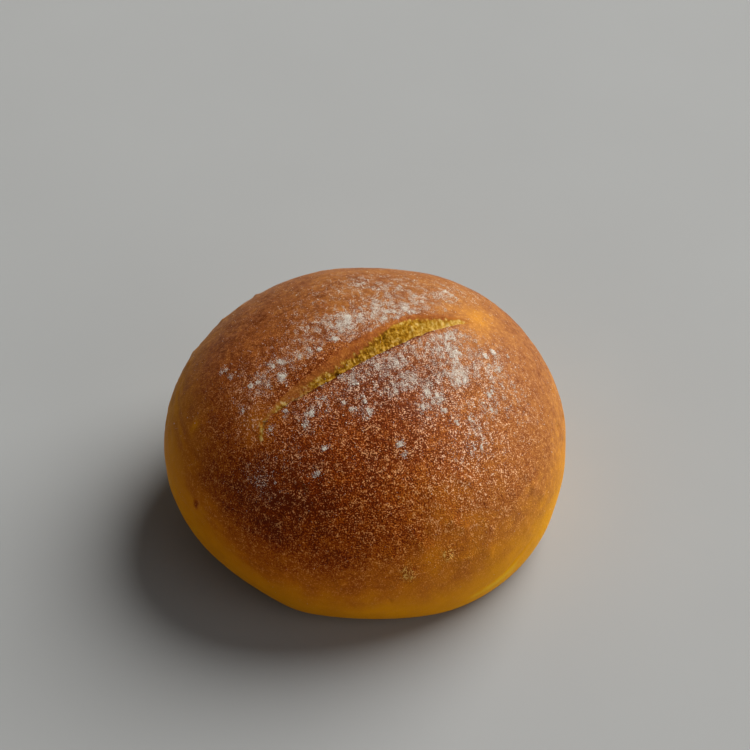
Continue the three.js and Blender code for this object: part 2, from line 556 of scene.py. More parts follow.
@dataclass(frozen=True)
class CrustNet:
    """The net of faces over the crust: a square net drawn to the round foot, rows by the slash."""

    columns: int = 352
    rows: int = 260
    band: float = 0.17  # share of the rows that lie in the slash
    band_least: float = 4.0  # width that those rows keep past the slash's ends
    calm: float = 0.6  # share of the reach inside which the net follows the slash
    column_ease: float = 0.7  # spacing of the middle columns, to that of an even net
    row_ease: float = 0.75

    def square(self) -> tuple[Floats, Floats]:
        """The net's column and row, each from -1 to 1, over rows of columns."""
        return np.meshgrid(np.linspace(-1, 1, self.columns + 1), np.linspace(-1, 1, self.rows + 1))

    def places(self, body: BunBody, slash: Slash) -> Places:
        """Where the net's knots lie on the crust.

        The square becomes a disc by x' = x sqrt(1 - y2 / 2) and y' = y sqrt(1 - x2 / 2), so its
        edge is the foot's edge. Rows of the band are spread from lip to lip, rows near it follow
        the lips, and rows far off don't.

        Args:
            body: The unslashed bun.
            slash: The slash that the rows follow.

        Returns:
            The knots' places.
        """
        column, row = self.square()
        column = column * (self.column_ease + (1.0 - self.column_ease) * column**2)
        side = np.sign(row)
        off = np.maximum(0.0, (np.abs(row) - self.band) / (1.0 - self.band))
        off = off * (self.row_ease + (1.0 - self.row_ease) * off**2)
        in_band = np.minimum(1.0, np.abs(row) / self.band)
        band_share = slash.opening / 2.0 / body.reach
        row = side * lerp(band_share * in_band, 1.0, off)
        round_off = np.sqrt(1.0 - column**2 / 2.0)
        along = body.reach * column * np.sqrt(1.0 - row**2 / 2.0)
        across = body.reach * row * round_off
        share = slash.share(along)
        opening = slash.opening * share
        middle = slash.near_lip(along) + opening / 2.0
        half_band = np.hypot(opening, self.band_least * (1.0 - share)) / 2.0
        moved = middle + side * half_band - side * body.reach * band_share * round_off
        shifted = across + moved * (1.0 - smoothstep(off, 0.0, self.calm))
        followed = np.where(off > 0.0, shifted, middle + side * in_band * half_band)
        calm = 1.0 - smoothstep(np.hypot(along, across) / body.reach, self.calm, 1.0)
        return Places(body, along, lerp(across, followed, calm))

    def rim(self) -> Whole:
        """The rim's knots, counter-clockwise seen from above.

        Returns:
            Indices of the front, right, back and left edge, each without its last knot.
        """
        wide = self.columns + 1
        front = np.arange(self.columns)
        right = np.arange(self.rows) * wide + self.columns
        back = self.rows * wide + np.arange(self.columns, 0, -1)
        left = np.arange(self.rows, 0, -1) * wide
        return np.concatenate([front, right, back, left])

    def faces(self) -> Whole:
        """The net's faces, counter-clockwise seen from outside.

        Returns:
            Indices of the four corners of each face.
        """
        wide = self.columns + 1
        first = (np.arange(self.rows)[:, None] * wide + np.arange(self.columns)).ravel()
        return np.stack([first, first + 1, first + wide + 1, first + wide], -1)


@dataclass(frozen=True)
class Spots:
    """Small round features of the crust, each a bell of its own width and height or depth."""

    places: Pairs
    radius: float
    height: float
    extra: int  # how many more are strewn over the crust
    extra_span: Pair  # distances from the top between which they are strewn
    seed: int
    sizes: Pair = (0.7, 1.3)  # smallest and largest, to the radius
    size_seed: int = 1000  # added to the seed for the sizes

    def centres(self) -> Floats:
        """Along and across of all features.

        Returns:
            The placed ones, then those strewn evenly by distance and turn.
        """
        draw = np.random.default_rng(self.seed)
        distance = draw.uniform(*self.extra_span, self.extra)
        turn = draw.uniform(-np.pi, np.pi, self.extra)
        strewn = np.stack([distance * np.cos(turn), distance * np.sin(turn)], -1)
        return np.concatenate([np.array(self.places), strewn])

    def weight(self, at: Places) -> Floats:
        """How much of a feature lies at each place: the sum of bells of the ways to the centres.

        Args:
            at: Places on the bun.

        Returns:
            About 0 off the features and 1 at their centres.
        """
        centres = self.centres()
        draw = np.random.default_rng(self.seed + self.size_seed)
        sizes = self.radius * draw.uniform(*self.sizes, len(centres))
        total = np.zeros_like(at.along)
        for place, size in zip(at.body.point(*centres.T), sizes):
            total += hump(np.linalg.norm(at.points - place, axis=-1), size)
        return total


@dataclass(frozen=True)
class Layer:
    """One noise of the relief, in millimetres."""

    wave: float
    height: float
    shift: float  # of its places, so that no two agree
    least: float = 1.0  # share of the height that the flanks keep
    layers: int = 1


@dataclass(frozen=True)
class Relief:
    """What stands out of or is sunk in the crust, in millimetres."""

    lumps: Layer = Layer(19.0, 0.32, 0.0)
    dents: Layer = Layer(8.0, 0.11, 50.0)
    peel: Layer = Layer(3.2, 0.07, 90.0, 0.45)
    grain: Layer = Layer(1.15, 0.05, 130.0, 0.15, 2)
    flank_span: Pair = (46.0, 60.0)  # distances from the top over which the flanks come in
    wrinkle_wave: Pair = (8.0, 1.3)  # round the bun, down it
    wrinkle_radius: float = 38.0  # of the bun where it wrinkled
    wrinkle_height: float = 0.085
    wrinkle_turn: float = math.radians(178)  # azimuth of the flank that wrinkled most
    wrinkle_spread: float = math.radians(62)
    wrinkle_least: float = 0.25
    wrinkle_band: Four = (36.0, 44.0, 58.0, 66.0)
    # Line of the crease at the foot: along, across
    crease: Pairs = (
        (-4.4, -68.9), (3.9, -65.0), (10.8, -63.3), (17.0, -61.2),
        (20.5, -57.8), (24.5, -54.5), (28.0, -51.5),
    )
    crease_steps: int = 90
    crease_width: float = 0.8
    crease_depth: float = 0.35
    crease_lift: float = 0.35  # share of the width by which its deepest part lies below the line
    strip_width: float = 2.7  # of the pale dough under the crease
    strip_edge: Pair = (-0.8, 0.9)  # depth below the line over which that comes in
    foot_fade: Pair = (3.0, 12.0)  # distances from the foot's edge over which relief comes in
    shoulder: Pair = (35.2, 7.5)  # along, across
    shoulder_height: float = 0.5
    shoulder_spread: float = 14.0
    blisters: Spots = Spots(
        ((-14.5, -50.2), (-4.6, -49.5), (-32.6, -43.1), (-43.2, -31.2), (0.9, -51.6), (7.7, -53.2),
         (6.2, -51.0)),
        radius=0.95, height=0.26, extra=34, extra_span=(34.0, 58.0), seed=24,
    )
    pocks: Spots = Spots(
        ((-50.2, -1.6), (-49.6, -2.3)),
        radius=0.5, height=-0.42, extra=16, extra_span=(30.0, 60.0), seed=22,
    )
    noise: Noise = Noise(3)

    def crease_shape(self, at: Places) -> tuple[Floats, Floats]:
        """How near places are to the crease at the foot, which dies off to its ends as a sine.

        Args:
            at: Places on the bun.

        Returns:
            Height of the crease, sunk above its line and swollen below it, and the share of pale
            dough under it.
        """
        listed = np.array(self.crease).T
        index = np.arange(len(self.crease))
        steps = np.linspace(0, index[-1], self.crease_steps)
        line = at.body.point(*(np.interp(steps, index, column) for column in listed))
        nearest = np.full_like(at.along, np.inf)
        over, fade = np.zeros_like(at.along), np.zeros_like(at.along)
        for share, place in zip(np.linspace(0, 1, len(line)), line):
            way = np.linalg.norm(at.points - place, axis=-1)
            closer = way < nearest
            nearest = np.where(closer, way, nearest)
            over = np.where(closer, at.points[..., 2] - place[2], over)
            fade = np.where(closer, np.sin(np.pi * share), fade)
        side = np.clip(over / self.crease_width + self.crease_lift, -1.0, 1.0)
        strip = hump(nearest, self.strip_width) * smoothstep(-over, *self.strip_edge)
        return -self.crease_depth * fade * hump(nearest, self.crease_width) * side, fade * strip

    def wrinkles(self, at: Places) -> Floats:
        """Wrinkles round the bun: a noise stretched round it, in a band, strongest on one flank.

        Args:
            at: Places on the bun.

        Returns:
            From about -1 in a furrow to 1 on a ridge.
        """
        way = np.abs((at.azimuth - self.wrinkle_turn + np.pi) % (2 * np.pi) - np.pi)
        flank = lerp(self.wrinkle_least, 1.0, hump(way, self.wrinkle_spread))
        right = self.wrinkle_radius * np.cos(at.azimuth)
        back = self.wrinkle_radius * np.sin(at.azimuth)
        places = np.stack([right, at.distance, back], -1)
        wide, tall = self.wrinkle_wave
        noise = self.noise.at(places, (wide, tall, wide))
        return plateau(at.distance, self.wrinkle_band) * flank * noise

    def height(self, at: Places, crust: Floats) -> Floats:
        """Height of the relief over the surface.

        It is the sum of lumps, dents, peel and grain, each a noise of its own wave, of wrinkles, of
        blisters and pocks, and of the crease by the foot. The shoulder at the right is a wide bell.

        Args:
            at: Places on the bun.
            crust: 1 on the crust, 0 in the slash.

        Returns:
            Millimetres out of the surface.
        """
        cap = 1.0 - smoothstep(at.distance, *self.flank_span)
        total = np.zeros_like(at.along)
        for layer in (self.lumps, self.dents, self.peel, self.grain):
            noise = self.noise.layered(at.points + layer.shift, layer.wave, layer.layers)
            total += layer.height * lerp(layer.least, 1.0, cap) * noise
        total += self.wrinkle_height * self.wrinkles(at)
        for spots in (self.blisters, self.pocks):
            total += spots.height * spots.weight(at)
        total += self.crease_shape(at)[0]
        total *= crust * smoothstep(at.body.reach - at.distance, *self.foot_fade)
        shoulder = hump(at.way_from(*self.shoulder), self.shoulder_spread)
        return total + self.shoulder_height * shoulder


@dataclass(frozen=True)
class Crumb:
    """The torn inside that shows in the slash, in millimetres."""

    fibre_wave: Triple = (0.75, 2.4, 1.0)  # along, across
    fibre_height: float = 0.13
    fluff_wave: float = 0.7
    fluff_height: float = 0.15
    fluff_shift: float = 60.0
    pore_wave: Triple = (1.3, 1.5, 1.0)
    pore_depth: float = 0.55
    pore_shift: float = 90.0
    pore_edge: Pair = (0.4, 0.8)  # of the noise, at which a pore opens
    calm: float = 0.5  # share of the height at the right end
    calm_span: Pair = (0.0, 12.0)
    noise: Noise = Noise(5)

    def height(self, at: Places) -> Floats:
        """Height of the torn floor: fibres over the slash, fluff, and pores where a noise is high.

        Args:
            at: Places on the bun.

        Returns:
            Millimetres out of the floor, calmer to the right.
        """
        places = np.stack([at.along, at.across, np.zeros_like(at.along)], -1)
        fibre = self.noise.at(places, self.fibre_wave)
        fluff = self.noise.layered(places + self.fluff_shift, self.fluff_wave, layers=2)
        pore = smoothstep(self.noise.at(places + self.pore_shift, self.pore_wave), *self.pore_edge)
        total = self.fibre_height * fibre + self.fluff_height * fluff - self.pore_depth * pore
        return total * lerp(1.0, self.calm, smoothstep(at.along, *self.calm_span))


@dataclass(frozen=True)
class Bake:
    """How far the crust is baked: brown on the crown, darkest in a ring, golden to pale below."""

    # Distance from the top at which brown turns golden, by azimuth in degrees
    border: Pairs = (
        (-168, 36), (-145, 42), (-118, 50), (-95, 53), (-62, 52.5), (-40, 48),
        (-20, 46), (0, 45), (30, 44), (85, 43), (140, 39),
    )
    # Bake by distance past that border
    fall: Pairs = (
        (-50, 0.60), (-30, 0.64), (-18, 0.70), (-10, 0.74), (-5, 0.68),
        (0, 0.53), (5, 0.35), (10, 0.19), (16, 0.11), (26, 0.09),
    )
    wobble_wave: float = 11.0
    wobble: float = 2.6  # how far noise moves the border
    mottle_wave: float = 5.0
    mottle: float = 0.09
    mottle_shift: float = 70.0
    mottle_bake: Pair = (0.02, 0.4)  # between which the mottle comes in
    # Places that are paler (or darker) than their surroundings: along, across, spread, change
    marks: tuple[Four, ...] = (
        (-30.5, -5.5, 4.0, -0.26), (-28.0, -2.0, 5.5, -0.19), (20.5, -5.0, 4.5, -0.24),
        (20.0, 1.0, 6.0, -0.1), (-37.7, 8.8, 1.1, -0.32), (-38.5, 13.0, 7.0, -0.06),
        # the pale spot at (7.5, -52.5) paints a small glint of the lamp
        (-37.0, -17.0, 11.0, 0.15), (-50.2, -1.8, 0.8, 0.55), (7.5, -52.5, 2.6, -0.06),
        (1.0, -43.0, 13.0, -0.14), (-6.7, -49.7, 6.0, -0.07), (-31.8, -53.0, 6.0, -0.06),
        (15.0, -38.0, 10.0, -0.06), (8.0, 9.0, 13.0, 0.09), (-6.0, -13.0, 11.0, 0.28),
        (-18.0, -26.0, 9.0, 0.06), (-29.0, -25.0, 7.0, 0.13), (-20.0, -44.0, 9.0, -0.07),
        (-42.5, -19.0, 4.5, 0.08), (24.0, -54.0, 6.0, 0.05), (-12.0, 16.0, 12.0, 0.07),
        (4.0, -49.0, 7.0, -0.1), (-3.0, -41.0, 9.5, -0.12), (-17.0, -51.0, 6.0, -0.1),
        (-8.0, -52.0, 6.0, -0.06), (12.0, -28.0, 8.0, -0.06),
    )
    least: float = 0.06  # what the marks leave
    wrinkle: float = 0.22  # darker in a furrow of the flank, lighter on a ridge
    wrinkle_bake: Pair = (0.12, 0.4)  # between which that comes in
    strip: float = 0.12  # less, on the pale strip by the foot
    lip: float = 0.65  # of the browned band under the far lip
    lip_edge: Pair = (0.0, 0.5)  # distance before the far lip over which the band comes in
    tail: float = 0.45  # of the slash's shallow ends
    tail_share: Pair = (0.2, 0.6)  # of the opening, over which the tail turns to the band
    lip_shadow: float = 0.45  # painted shadow: more bake, so a thin darker line, at the edge of the near lip where it overhangs
    lip_shadow_width: float = 0.35
    lip_shadow_share: Pair = (0.1, 0.4)  # of the opening, over which that comes in
    lip_shadow_span: Pair = (4.0, 12.0)  # along which it goes to its least
    lip_shadow_least: float = 0.2
    noise: Noise = Noise(7)

    def on_crust(self, at: Places, relief: Relief) -> Floats:
        """Bake of the uncut crust: the fall past the moved border, mottled, with its marks.

        Furrows of the flank are darker and its ridges lighter, and the strip under the crease is
        baked less.

        Args:
            at: Places on the bun.
            relief: The crust's relief.

        Returns:
            0 pale to 1 dark.
        """
        past = at.distance - joined(np.degrees(at.azimuth), self.border, period=360.0)
        past += self.wobble * self.noise.layered(at.points, self.wobble_wave, layers=2)
        bake = joined(past, self.fall)
        mottle = self.noise.layered(at.points + self.mottle_shift, self.mottle_wave, layers=3)
        bake += self.mottle * mottle * smoothstep(bake, *self.mottle_bake)
        bake = np.clip(bake + bells(at, self.marks), self.least, 1.0)
        bake -= self.wrinkle * relief.wrinkles(at) * smoothstep(bake, *self.wrinkle_bake)
        return np.maximum(bake - self.strip * relief.crease_shape(at)[1], 0.0)

    def level(self, at: Places, relief: Relief, inside: Inside, cut: Floats) -> Floats:
        """Bake everywhere: the crust's, with the browned band of the slash and a painted shadow
        along its near lip.

        Args:
            at: Places on the bun.
            relief: The crust's relief.
            inside: Where the places lie in the slash.
            cut: How far the crust is cut away there.

        Returns:
            0 pale to 1 dark.
        """
        lip = lerp(self.tail, self.lip, smoothstep(inside.share, *self.tail_share))
        in_band = cut * smoothstep(inside.from_far, *self.lip_edge)
        # painted shadow: a thin dark line along the near lip, fading to the right end
        lip_shadow = self.lip_shadow * hump(inside.from_near, self.lip_shadow_width)
        lip_shadow *= smoothstep(inside.share, *self.lip_shadow_share)
        lip_shadow *= lerp(1.0, self.lip_shadow_least, smoothstep(at.along, *self.lip_shadow_span))
        return lerp(self.on_crust(at, relief), lip, in_band) + lip_shadow


@dataclass(frozen=True)
class Field:
    """A soft oval part of the crust in which something shows more than elsewhere."""

    middle: Pair  # along, across
    spread: Pair  # with its longer axis, over it
    least: float  # what is left far off
    turn: float = math.radians(-45)  # of the longer axis, from along
    power: float = 3.0

    def strength(self, at: Places) -> Floats:
        """How strongly it shows, by e to the minus power of the way over the spreads.

        Args:
            at: Places on the bun.

        Returns:
            The least far off to 1 at the middle.
        """
        right, back = at.along - self.middle[0], at.across - self.middle[1]
        cosine, sine = math.cos(self.turn), math.sin(self.turn)
        with_axis = (right * cosine + back * sine) / self.spread[0]
        over_axis = (back * cosine - right * sine) / self.spread[1]
        return lerp(self.least, 1.0, np.exp(-(np.hypot(with_axis, over_axis) ** self.power)))


@dataclass(frozen=True)
class Dusting:
    """Where flour fell: patches on both sides of the slash, broken up by noise."""

    # Along, across, spread along, spread across, thickness
    patches: Patches = (
        (-3.8, 3.4, 3.2, 2.4, 0.8), (1.5, 4.0, 4.5, 3.4, 0.36), (7.5, 3.6, 4.5, 3.2, 0.31),
        (12.5, 3.4, 4.0, 3.0, 0.32), (17.5, 3.0, 5.0, 3.5, 0.18), (5.0, 9.0, 9.0, 5.0, 0.25),
        (17.0, 7.5, 7.0, 5.0, 0.18), (21.5, 3.5, 5.0, 4.0, 0.12), (2.4, 15.4, 9.0, 5.0, 0.2),
        (-8.7, 6.0, 4.5, 4.0, 0.2), (-13.4, 2.5, 3.0, 2.5, 0.2), (-19.2, 3.5, 3.0, 2.2, 0.2),
        (-25.4, 2.5, 2.6, 3.0, 0.14), (-13.0, 5.0, 9.0, 6.0, 0.14), (-5.0, -0.1, 3.5, 1.2, 0.36),
        (1.5, 0.6, 4.0, 1.2, 0.42), (8.0, 0.4, 4.0, 1.2, 0.3), (-17.0, -9.5, 3.0, 2.5, 0.3),
        (5.0, -12.5, 3.0, 2.5, 0.5), (-2.5, -11.0, 3.5, 2.0, 0.4), (7.5, -9.5, 3.0, 2.5, 0.35),
        (14.0, -22.0, 5.0, 4.0, 0.22), (-23.0, 3.0, 7.0, 5.0, 0.14), (-3.2, -8.4, 6.5, 2.6, 0.6),
        (4.0, -8.2, 5.0, 2.4, 0.6), (10.8, -8.8, 4.5, 3.0, 0.52), (-2.5, -14.5, 5.0, 2.6, 0.58),
        (3.6, -17.0, 3.0, 2.4, 0.7), (9.3, -15.8, 3.4, 2.8, 0.84), (14.5, -14.5, 3.6, 4.0, 0.42),
        (-11.0, -9.0, 4.0, 3.0, 0.42), (-20.8, -10.1, 2.4, 2.8, 0.3),
        (-12.0, -15.6, 3.0, 2.4, 0.35), (-0.7, -20.5, 4.0, 2.6, 0.3), (8.0, -25.5, 6.0, 6.0, 0.3),
        (8.0, -31.5, 6.0, 4.0, 0.18), (20.0, -15.0, 4.0, 6.0, 0.22), (20.0, -24.0, 6.0, 6.0, 0.16),
        (-26.0, -13.0, 8.0, 6.0, 0.07), (-35.0, -14.4, 3.0, 4.0, 0.18),
        (0.0, -4.0, 26.0, 26.0, 0.06),
    )
    # Where the finest flour lies as a film in the crust's grain, listed in the same way; on the
    # right the film also paints part of the window lamp's sheen
    film_and_sheen: Patches = (
        (8.0, -31.0, 17.0, 17.5, 0.1), (-24.0, -16.0, 14.0, 12.0, 0.03),
        (-27.0, 5.0, 8.0, 6.0, 0.03), (-29.0, -2.5, 6.0, 5.0, 0.08),
        (26.0, -15.0, 14.0, 16.0, 0.08), (20.0, 4.0, 8.0, 6.0, 0.06),
    )
    # Clumps that stand apart: along, across, radius, thickness
    lone: tuple[Four, ...] = (
        (-20.6, -9.8, 0.65, 0.65), (-22.4, -11.1, 0.64, 0.51), (-21.5, -17.6, 0.64, 0.68),
        (-25.3, -21.2, 0.64, 0.42), (-8.3, -24.8, 0.64, 0.51), (-8.2, -27.2, 0.48, 0.42),
        (1.9, -31.7, 0.64, 0.42), (-11.6, -16.4, 0.8, 0.77), (-13.9, -14.4, 0.56, 0.51),
        (-14.4, -12.3, 0.48, 0.42), (-0.7, -19.9, 0.8, 0.51), (-18.8, 4.1, 0.8, 0.51),
        (-20.5, 4.3, 0.64, 0.38), (-20.2, 0.8, 0.8, 0.51), (-25.6, 4.1, 0.64, 0.51),
        (-26.4, 1.3, 0.64, 0.42), (-26.6, 12.3, 0.64, 0.38), (-26.4, 9.3, 0.64, 0.3),
        (-29.7, 0.7, 0.56, 0.3), (-12.1, 1.2, 0.48, 0.51), (-8.7, 1.6, 0.8, 0.77),
        (-3.8, 5.1, 0.96, 0.68), (-7.3, 5.5, 0.64, 0.42), (-12.1, 8.2, 0.64, 0.38),
        (-28.0, -7.1, 0.56, 0.34), (-24.0, -6.2, 0.64, 0.38), (-35.4, -13.6, 0.96, 0.26),
        (16.0, -13.3, 0.4, 0.5), (18.3, -13.8, 0.4, 0.5), (21.5, -14.0, 0.48, 0.4),
        (17.1, -16.8, 0.64, 0.68), (6.9, -25.2, 0.64, 0.34), (8.3, -21.9, 0.64, 0.51),
        (2.4, -18.8, 0.8, 0.59),
    )
    cloud_wave: float = 5.0
    cloud: float = 0.6  # how far clouds change the thickness
    cell: float = 1.3  # of the lattice that holds one clump in each cell
    clump_radius: Pair = (0.22, 0.62)  # smallest and largest
    thin_radius: float = 0.6  # share of it in a thin dusting
    thin_span: Pair = (0.1, 0.6)  # thickness over which it grows to the whole
    rarest: Pair = (0.03, 0.85)  # thickness that a clump needs: the least, and more by its number
    there_edge: Pair = (0.0, 0.12)  # thickness past that need over which it comes in
    faintest: float = 0.35  # clump, to the fullest
    fray_wave: float = 0.9
    fray: float = 0.42  # how far a clump's edge strays
    fray_shifts: Triple = (11.0, 23.0, 37.0)
    wisp_wave: float = 0.7
    wisp: float = 1.3  # how far wisps thin a clump
    wisp_shift: float = 40.0
    wisp_edge: Pair = (0.2, 0.95)
    haze_wave: float = 0.9
    haze: float = 0.9  # how far the thickness closes the haze
    haze_shift: float = 70.0
    haze_edge: Pair = (0.15, 1.0)
    behind_span: Pair = (0.0, 4.0)  # across which the part behind the slash comes in
    clump_cover: Pair = (0.95, 0.9)  # before the slash, behind it
    haze_cover: Pair = (0.17, 0.25)
    slash_keeps: Pair = (0.15, 0.05)  # share of the flour that lies on the slash's skin, its crumb
    flour_veil: float = 0.9  # thickness of the finest flour under the bits
    patch_veil: float = 0.24  # and between them
    noise: Noise = Noise(9)
    draw: Noise = Noise(10)

    @staticmethod
    def laid(patches: Patches, at: Places) -> Floats:
        """Thickness of laid patches: 1 less the product of what each, a bell, leaves.

        Args:
            patches: Places, spreads and thicknesses.
            at: Places on the bun.

        Returns:
            0 bare to 1 full.
        """
        left = np.ones_like(at.along)
        for along, across, wide, deep, thick in patches:
            way = ((at.along - along) / wide) ** 2 + ((at.across - across) / deep) ** 2
            left *= 1.0 - thick * np.exp(-way)
        return 1.0 - left

    def strayed(self, points: Floats) -> Floats:
        """How far points are moved so that clumps fray at their edges: one noise for each way."""
        noises = [self.noise.at(points + shift, self.fray_wave) for shift in self.fray_shifts]
        return self.fray * np.stack(noises, -1)

    def apart(self, at: Places) -> Floats:
        """How near strayed places are to a clump that stands apart: the greatest of the bells.

        Args:
            at: Places on the bun.

        Returns:
            0 off the clumps to their thickness in their middles.
        """
        move = self.strayed(at.points)
        moved = Places(at.body, at.along + move[..., 0], at.across + move[..., 1])
        nearest = np.zeros_like(at.along)
        for along, across, radius, thick in self.lone:
            nearest = np.maximum(nearest, thick * hump(moved.way_from(along, across), radius))
        return nearest

    def clumps(self, points: Floats, thick: Floats) -> Floats:
        """How near points are to a clump of flour.

        Each cell of a lattice holds one clump at a random place. It is there when a number drawn
        for it lies below the thickness, and spreads as a bell of its own radius. Where clumps meet,
        the greater counts.

        Args:
            points: Places on the bun.
            thick: Thickness of the dusting there.

        Returns:
            0 off the clumps to 1 in their middles.
        """
        points = points + self.strayed(points)
        cells = np.floor(points / self.cell).astype(np.int64)
        grown = lerp(self.thin_radius, 1.0, smoothstep(thick, *self.thin_span))
        least, more = self.rarest
        nearest = np.zeros_like(thick)
        for step in np.ndindex(3, 3, 3):
            cell = cells + (np.array(step) - 1)
            middle = (cell + 0.5 + 0.5 * self.noise.slopes(cell)) * self.cell
            rare, wide, full = np.moveaxis(0.5 + 0.5 * self.draw.slopes(cell), -1, 0)
            there = smoothstep(thick - least - rare * more, *self.there_edge)
            there *= lerp(self.faintest, 1.0, full)
            radius = lerp(*self.clump_radius, wide**2) * grown
            bell = hump(np.linalg.norm(points - middle, axis=-1), radius)
            nearest = np.maximum(nearest, there * bell)
        return nearest

    def gathered(self, at: Places) -> Floats:
        """Share that flour covers: clumps thinned by a fine noise, and broken haze between them.

        Args:
            at: Places on the bun.

        Returns:
            0 bare to 1 covered.
        """
        points = at.points
        cloud = self.noise.layered(points, self.cloud_wave, layers=2)
        thick = np.clip(self.laid(self.patches, at) * (1.0 + self.cloud * cloud), 0.0, 1.0)
        clump = np.maximum(self.clumps(points, thick), self.apart(at))
        wisp = self.noise.layered(points + self.wisp_shift, self.wisp_wave, layers=2)
        frayed = clump * smoothstep(clump + self.wisp * wisp, *self.wisp_edge)
        haze = self.noise.layered(points + self.haze_shift, self.haze_wave, layers=3)
        haze = thick * smoothstep(haze + self.haze * thick, *self.haze_edge)
        behind = smoothstep(at.across, *self.behind_span)
        cover = lerp(*self.clump_cover, behind) * frayed + lerp(*self.haze_cover, behind) * haze
        return np.clip(cover, 0.0, 1.0)

    def settled(self, at: Places, crust: Floats, torn: Floats) -> tuple[Floats, Floats, Floats]:
        """Flour as it lies: little of it in the slash, and the finest under and between the bits.

        Args:
            at: Places on the bun.
            crust: 1 on the crust and the tail's skin, 0 in the slash.
            torn: How much torn crumb shows.

        Returns:
            Share that flour covers, how thick the finest lies, and the same with the film, which
            also paints part of the lamp's sheen.
        """
        kept = np.maximum(crust, lerp(*self.slash_keeps, torn))
        flour = self.gathered(at) * kept
        between = self.laid(self.patches, at) * kept
        thick = self.flour_veil * flour + self.patch_veil * between
        return flour, thick, np.clip(thick + self.laid(self.film_and_sheen, at), 0.0, 1.0)


@dataclass
class CrustGrid:
    """The crust's knots in space with what is known at each, as rows of columns."""

    points: Floats
    channels: dict[Channel, Floats]
    flour: Floats  # share of the surface that flour covers
    thick: Floats  # how thick it lies


def make_object(
    name: str,
    points: Floats,
    faces: list[Whole],
    material: bpy.types.Material,
    channels: dict[Channel, Floats] | None = None,
    corner_map: Floats | None = None,
) -> bpy.types.Object:
    """Makes a smooth mesh object at the origin.

    Args:
        name: Name of the object and its mesh.
        points: Places of the vertices in millimetres.
        faces: Arrays of faces by vertex index, each array with faces of as many corners.
        material: The piece's finish.
        channels: Values at the vertices, kept as attributes.
        corner_map: Places of the faces' corners on the piece's own map.

    Returns:
        The object, linked to the scene.
    """
    mesh = bpy.data.meshes.new(name)
    mesh.from_pydata(points * METRES, [], [face for group in faces for face in group.tolist()])
    for channel, values in (channels or {}).items():
        layer = mesh.attributes.new(channel.value, "FLOAT", "POINT")
        layer.data.foreach_set("value", values.astype(np.float32).ravel())
    if corner_map is not None:
        layer = mesh.uv_layers.new(name=MAP_NAME)
        layer.uv.foreach_set("vector", corner_map.astype(np.float32).ravel())
    mesh.shade_smooth()
    mesh.update()
    mesh.materials.append(material)
    made = bpy.data.objects.new(name, mesh)
    bpy.context.scene.collection.objects.link(made)
    return made


class Value:
    """A socket of a shader graph that takes arithmetic: each operation adds a node."""

    def __init__(self, graph: Graph, socket: bpy.types.NodeSocket) -> None:
        """Keeps the graph and the socket."""
        self.graph = graph
        self.socket = socket

    def _math(self, operation: str, *terms: Value | float) -> Value:
        """The result of an operation on the terms."""
        return self.graph.node("ShaderNodeMath", {"operation": operation}, dict(enumerate(terms)))

    def __add__(self, other: Value | float) -> Value:
        """Sum."""
        return self._math("ADD", self, other)

    def __sub__(self, other: Value | float) -> Value:
        """Difference."""
        return self._math("SUBTRACT", self, other)

    def __rsub__(self, other: float) -> Value:
        """Difference from a number."""
        return self._math("SUBTRACT", other, self)

    def __mul__(self, other: Value | float) -> Value:
        """Product."""
        return self._math("MULTIPLY", self, other)

    __radd__ = __add__
    __rmul__ = __mul__

    def step(self, low: float, high: float) -> Value:
        """Eased step from 0 at low to 1 at high."""
        sockets = {"Value": self, "From Min": low, "From Max": high}
        return self.graph.node("ShaderNodeMapRange", {"interpolation_type": "SMOOTHSTEP"}, sockets)

    def held(self) -> Value:
        """The value held between 0 and 1."""
        return self.graph.node("ShaderNodeClamp", {}, {"Value": self})


Term = Value | float | Colour
Known = dict[Channel, Value]
Fine = dict[Pattern, Value]


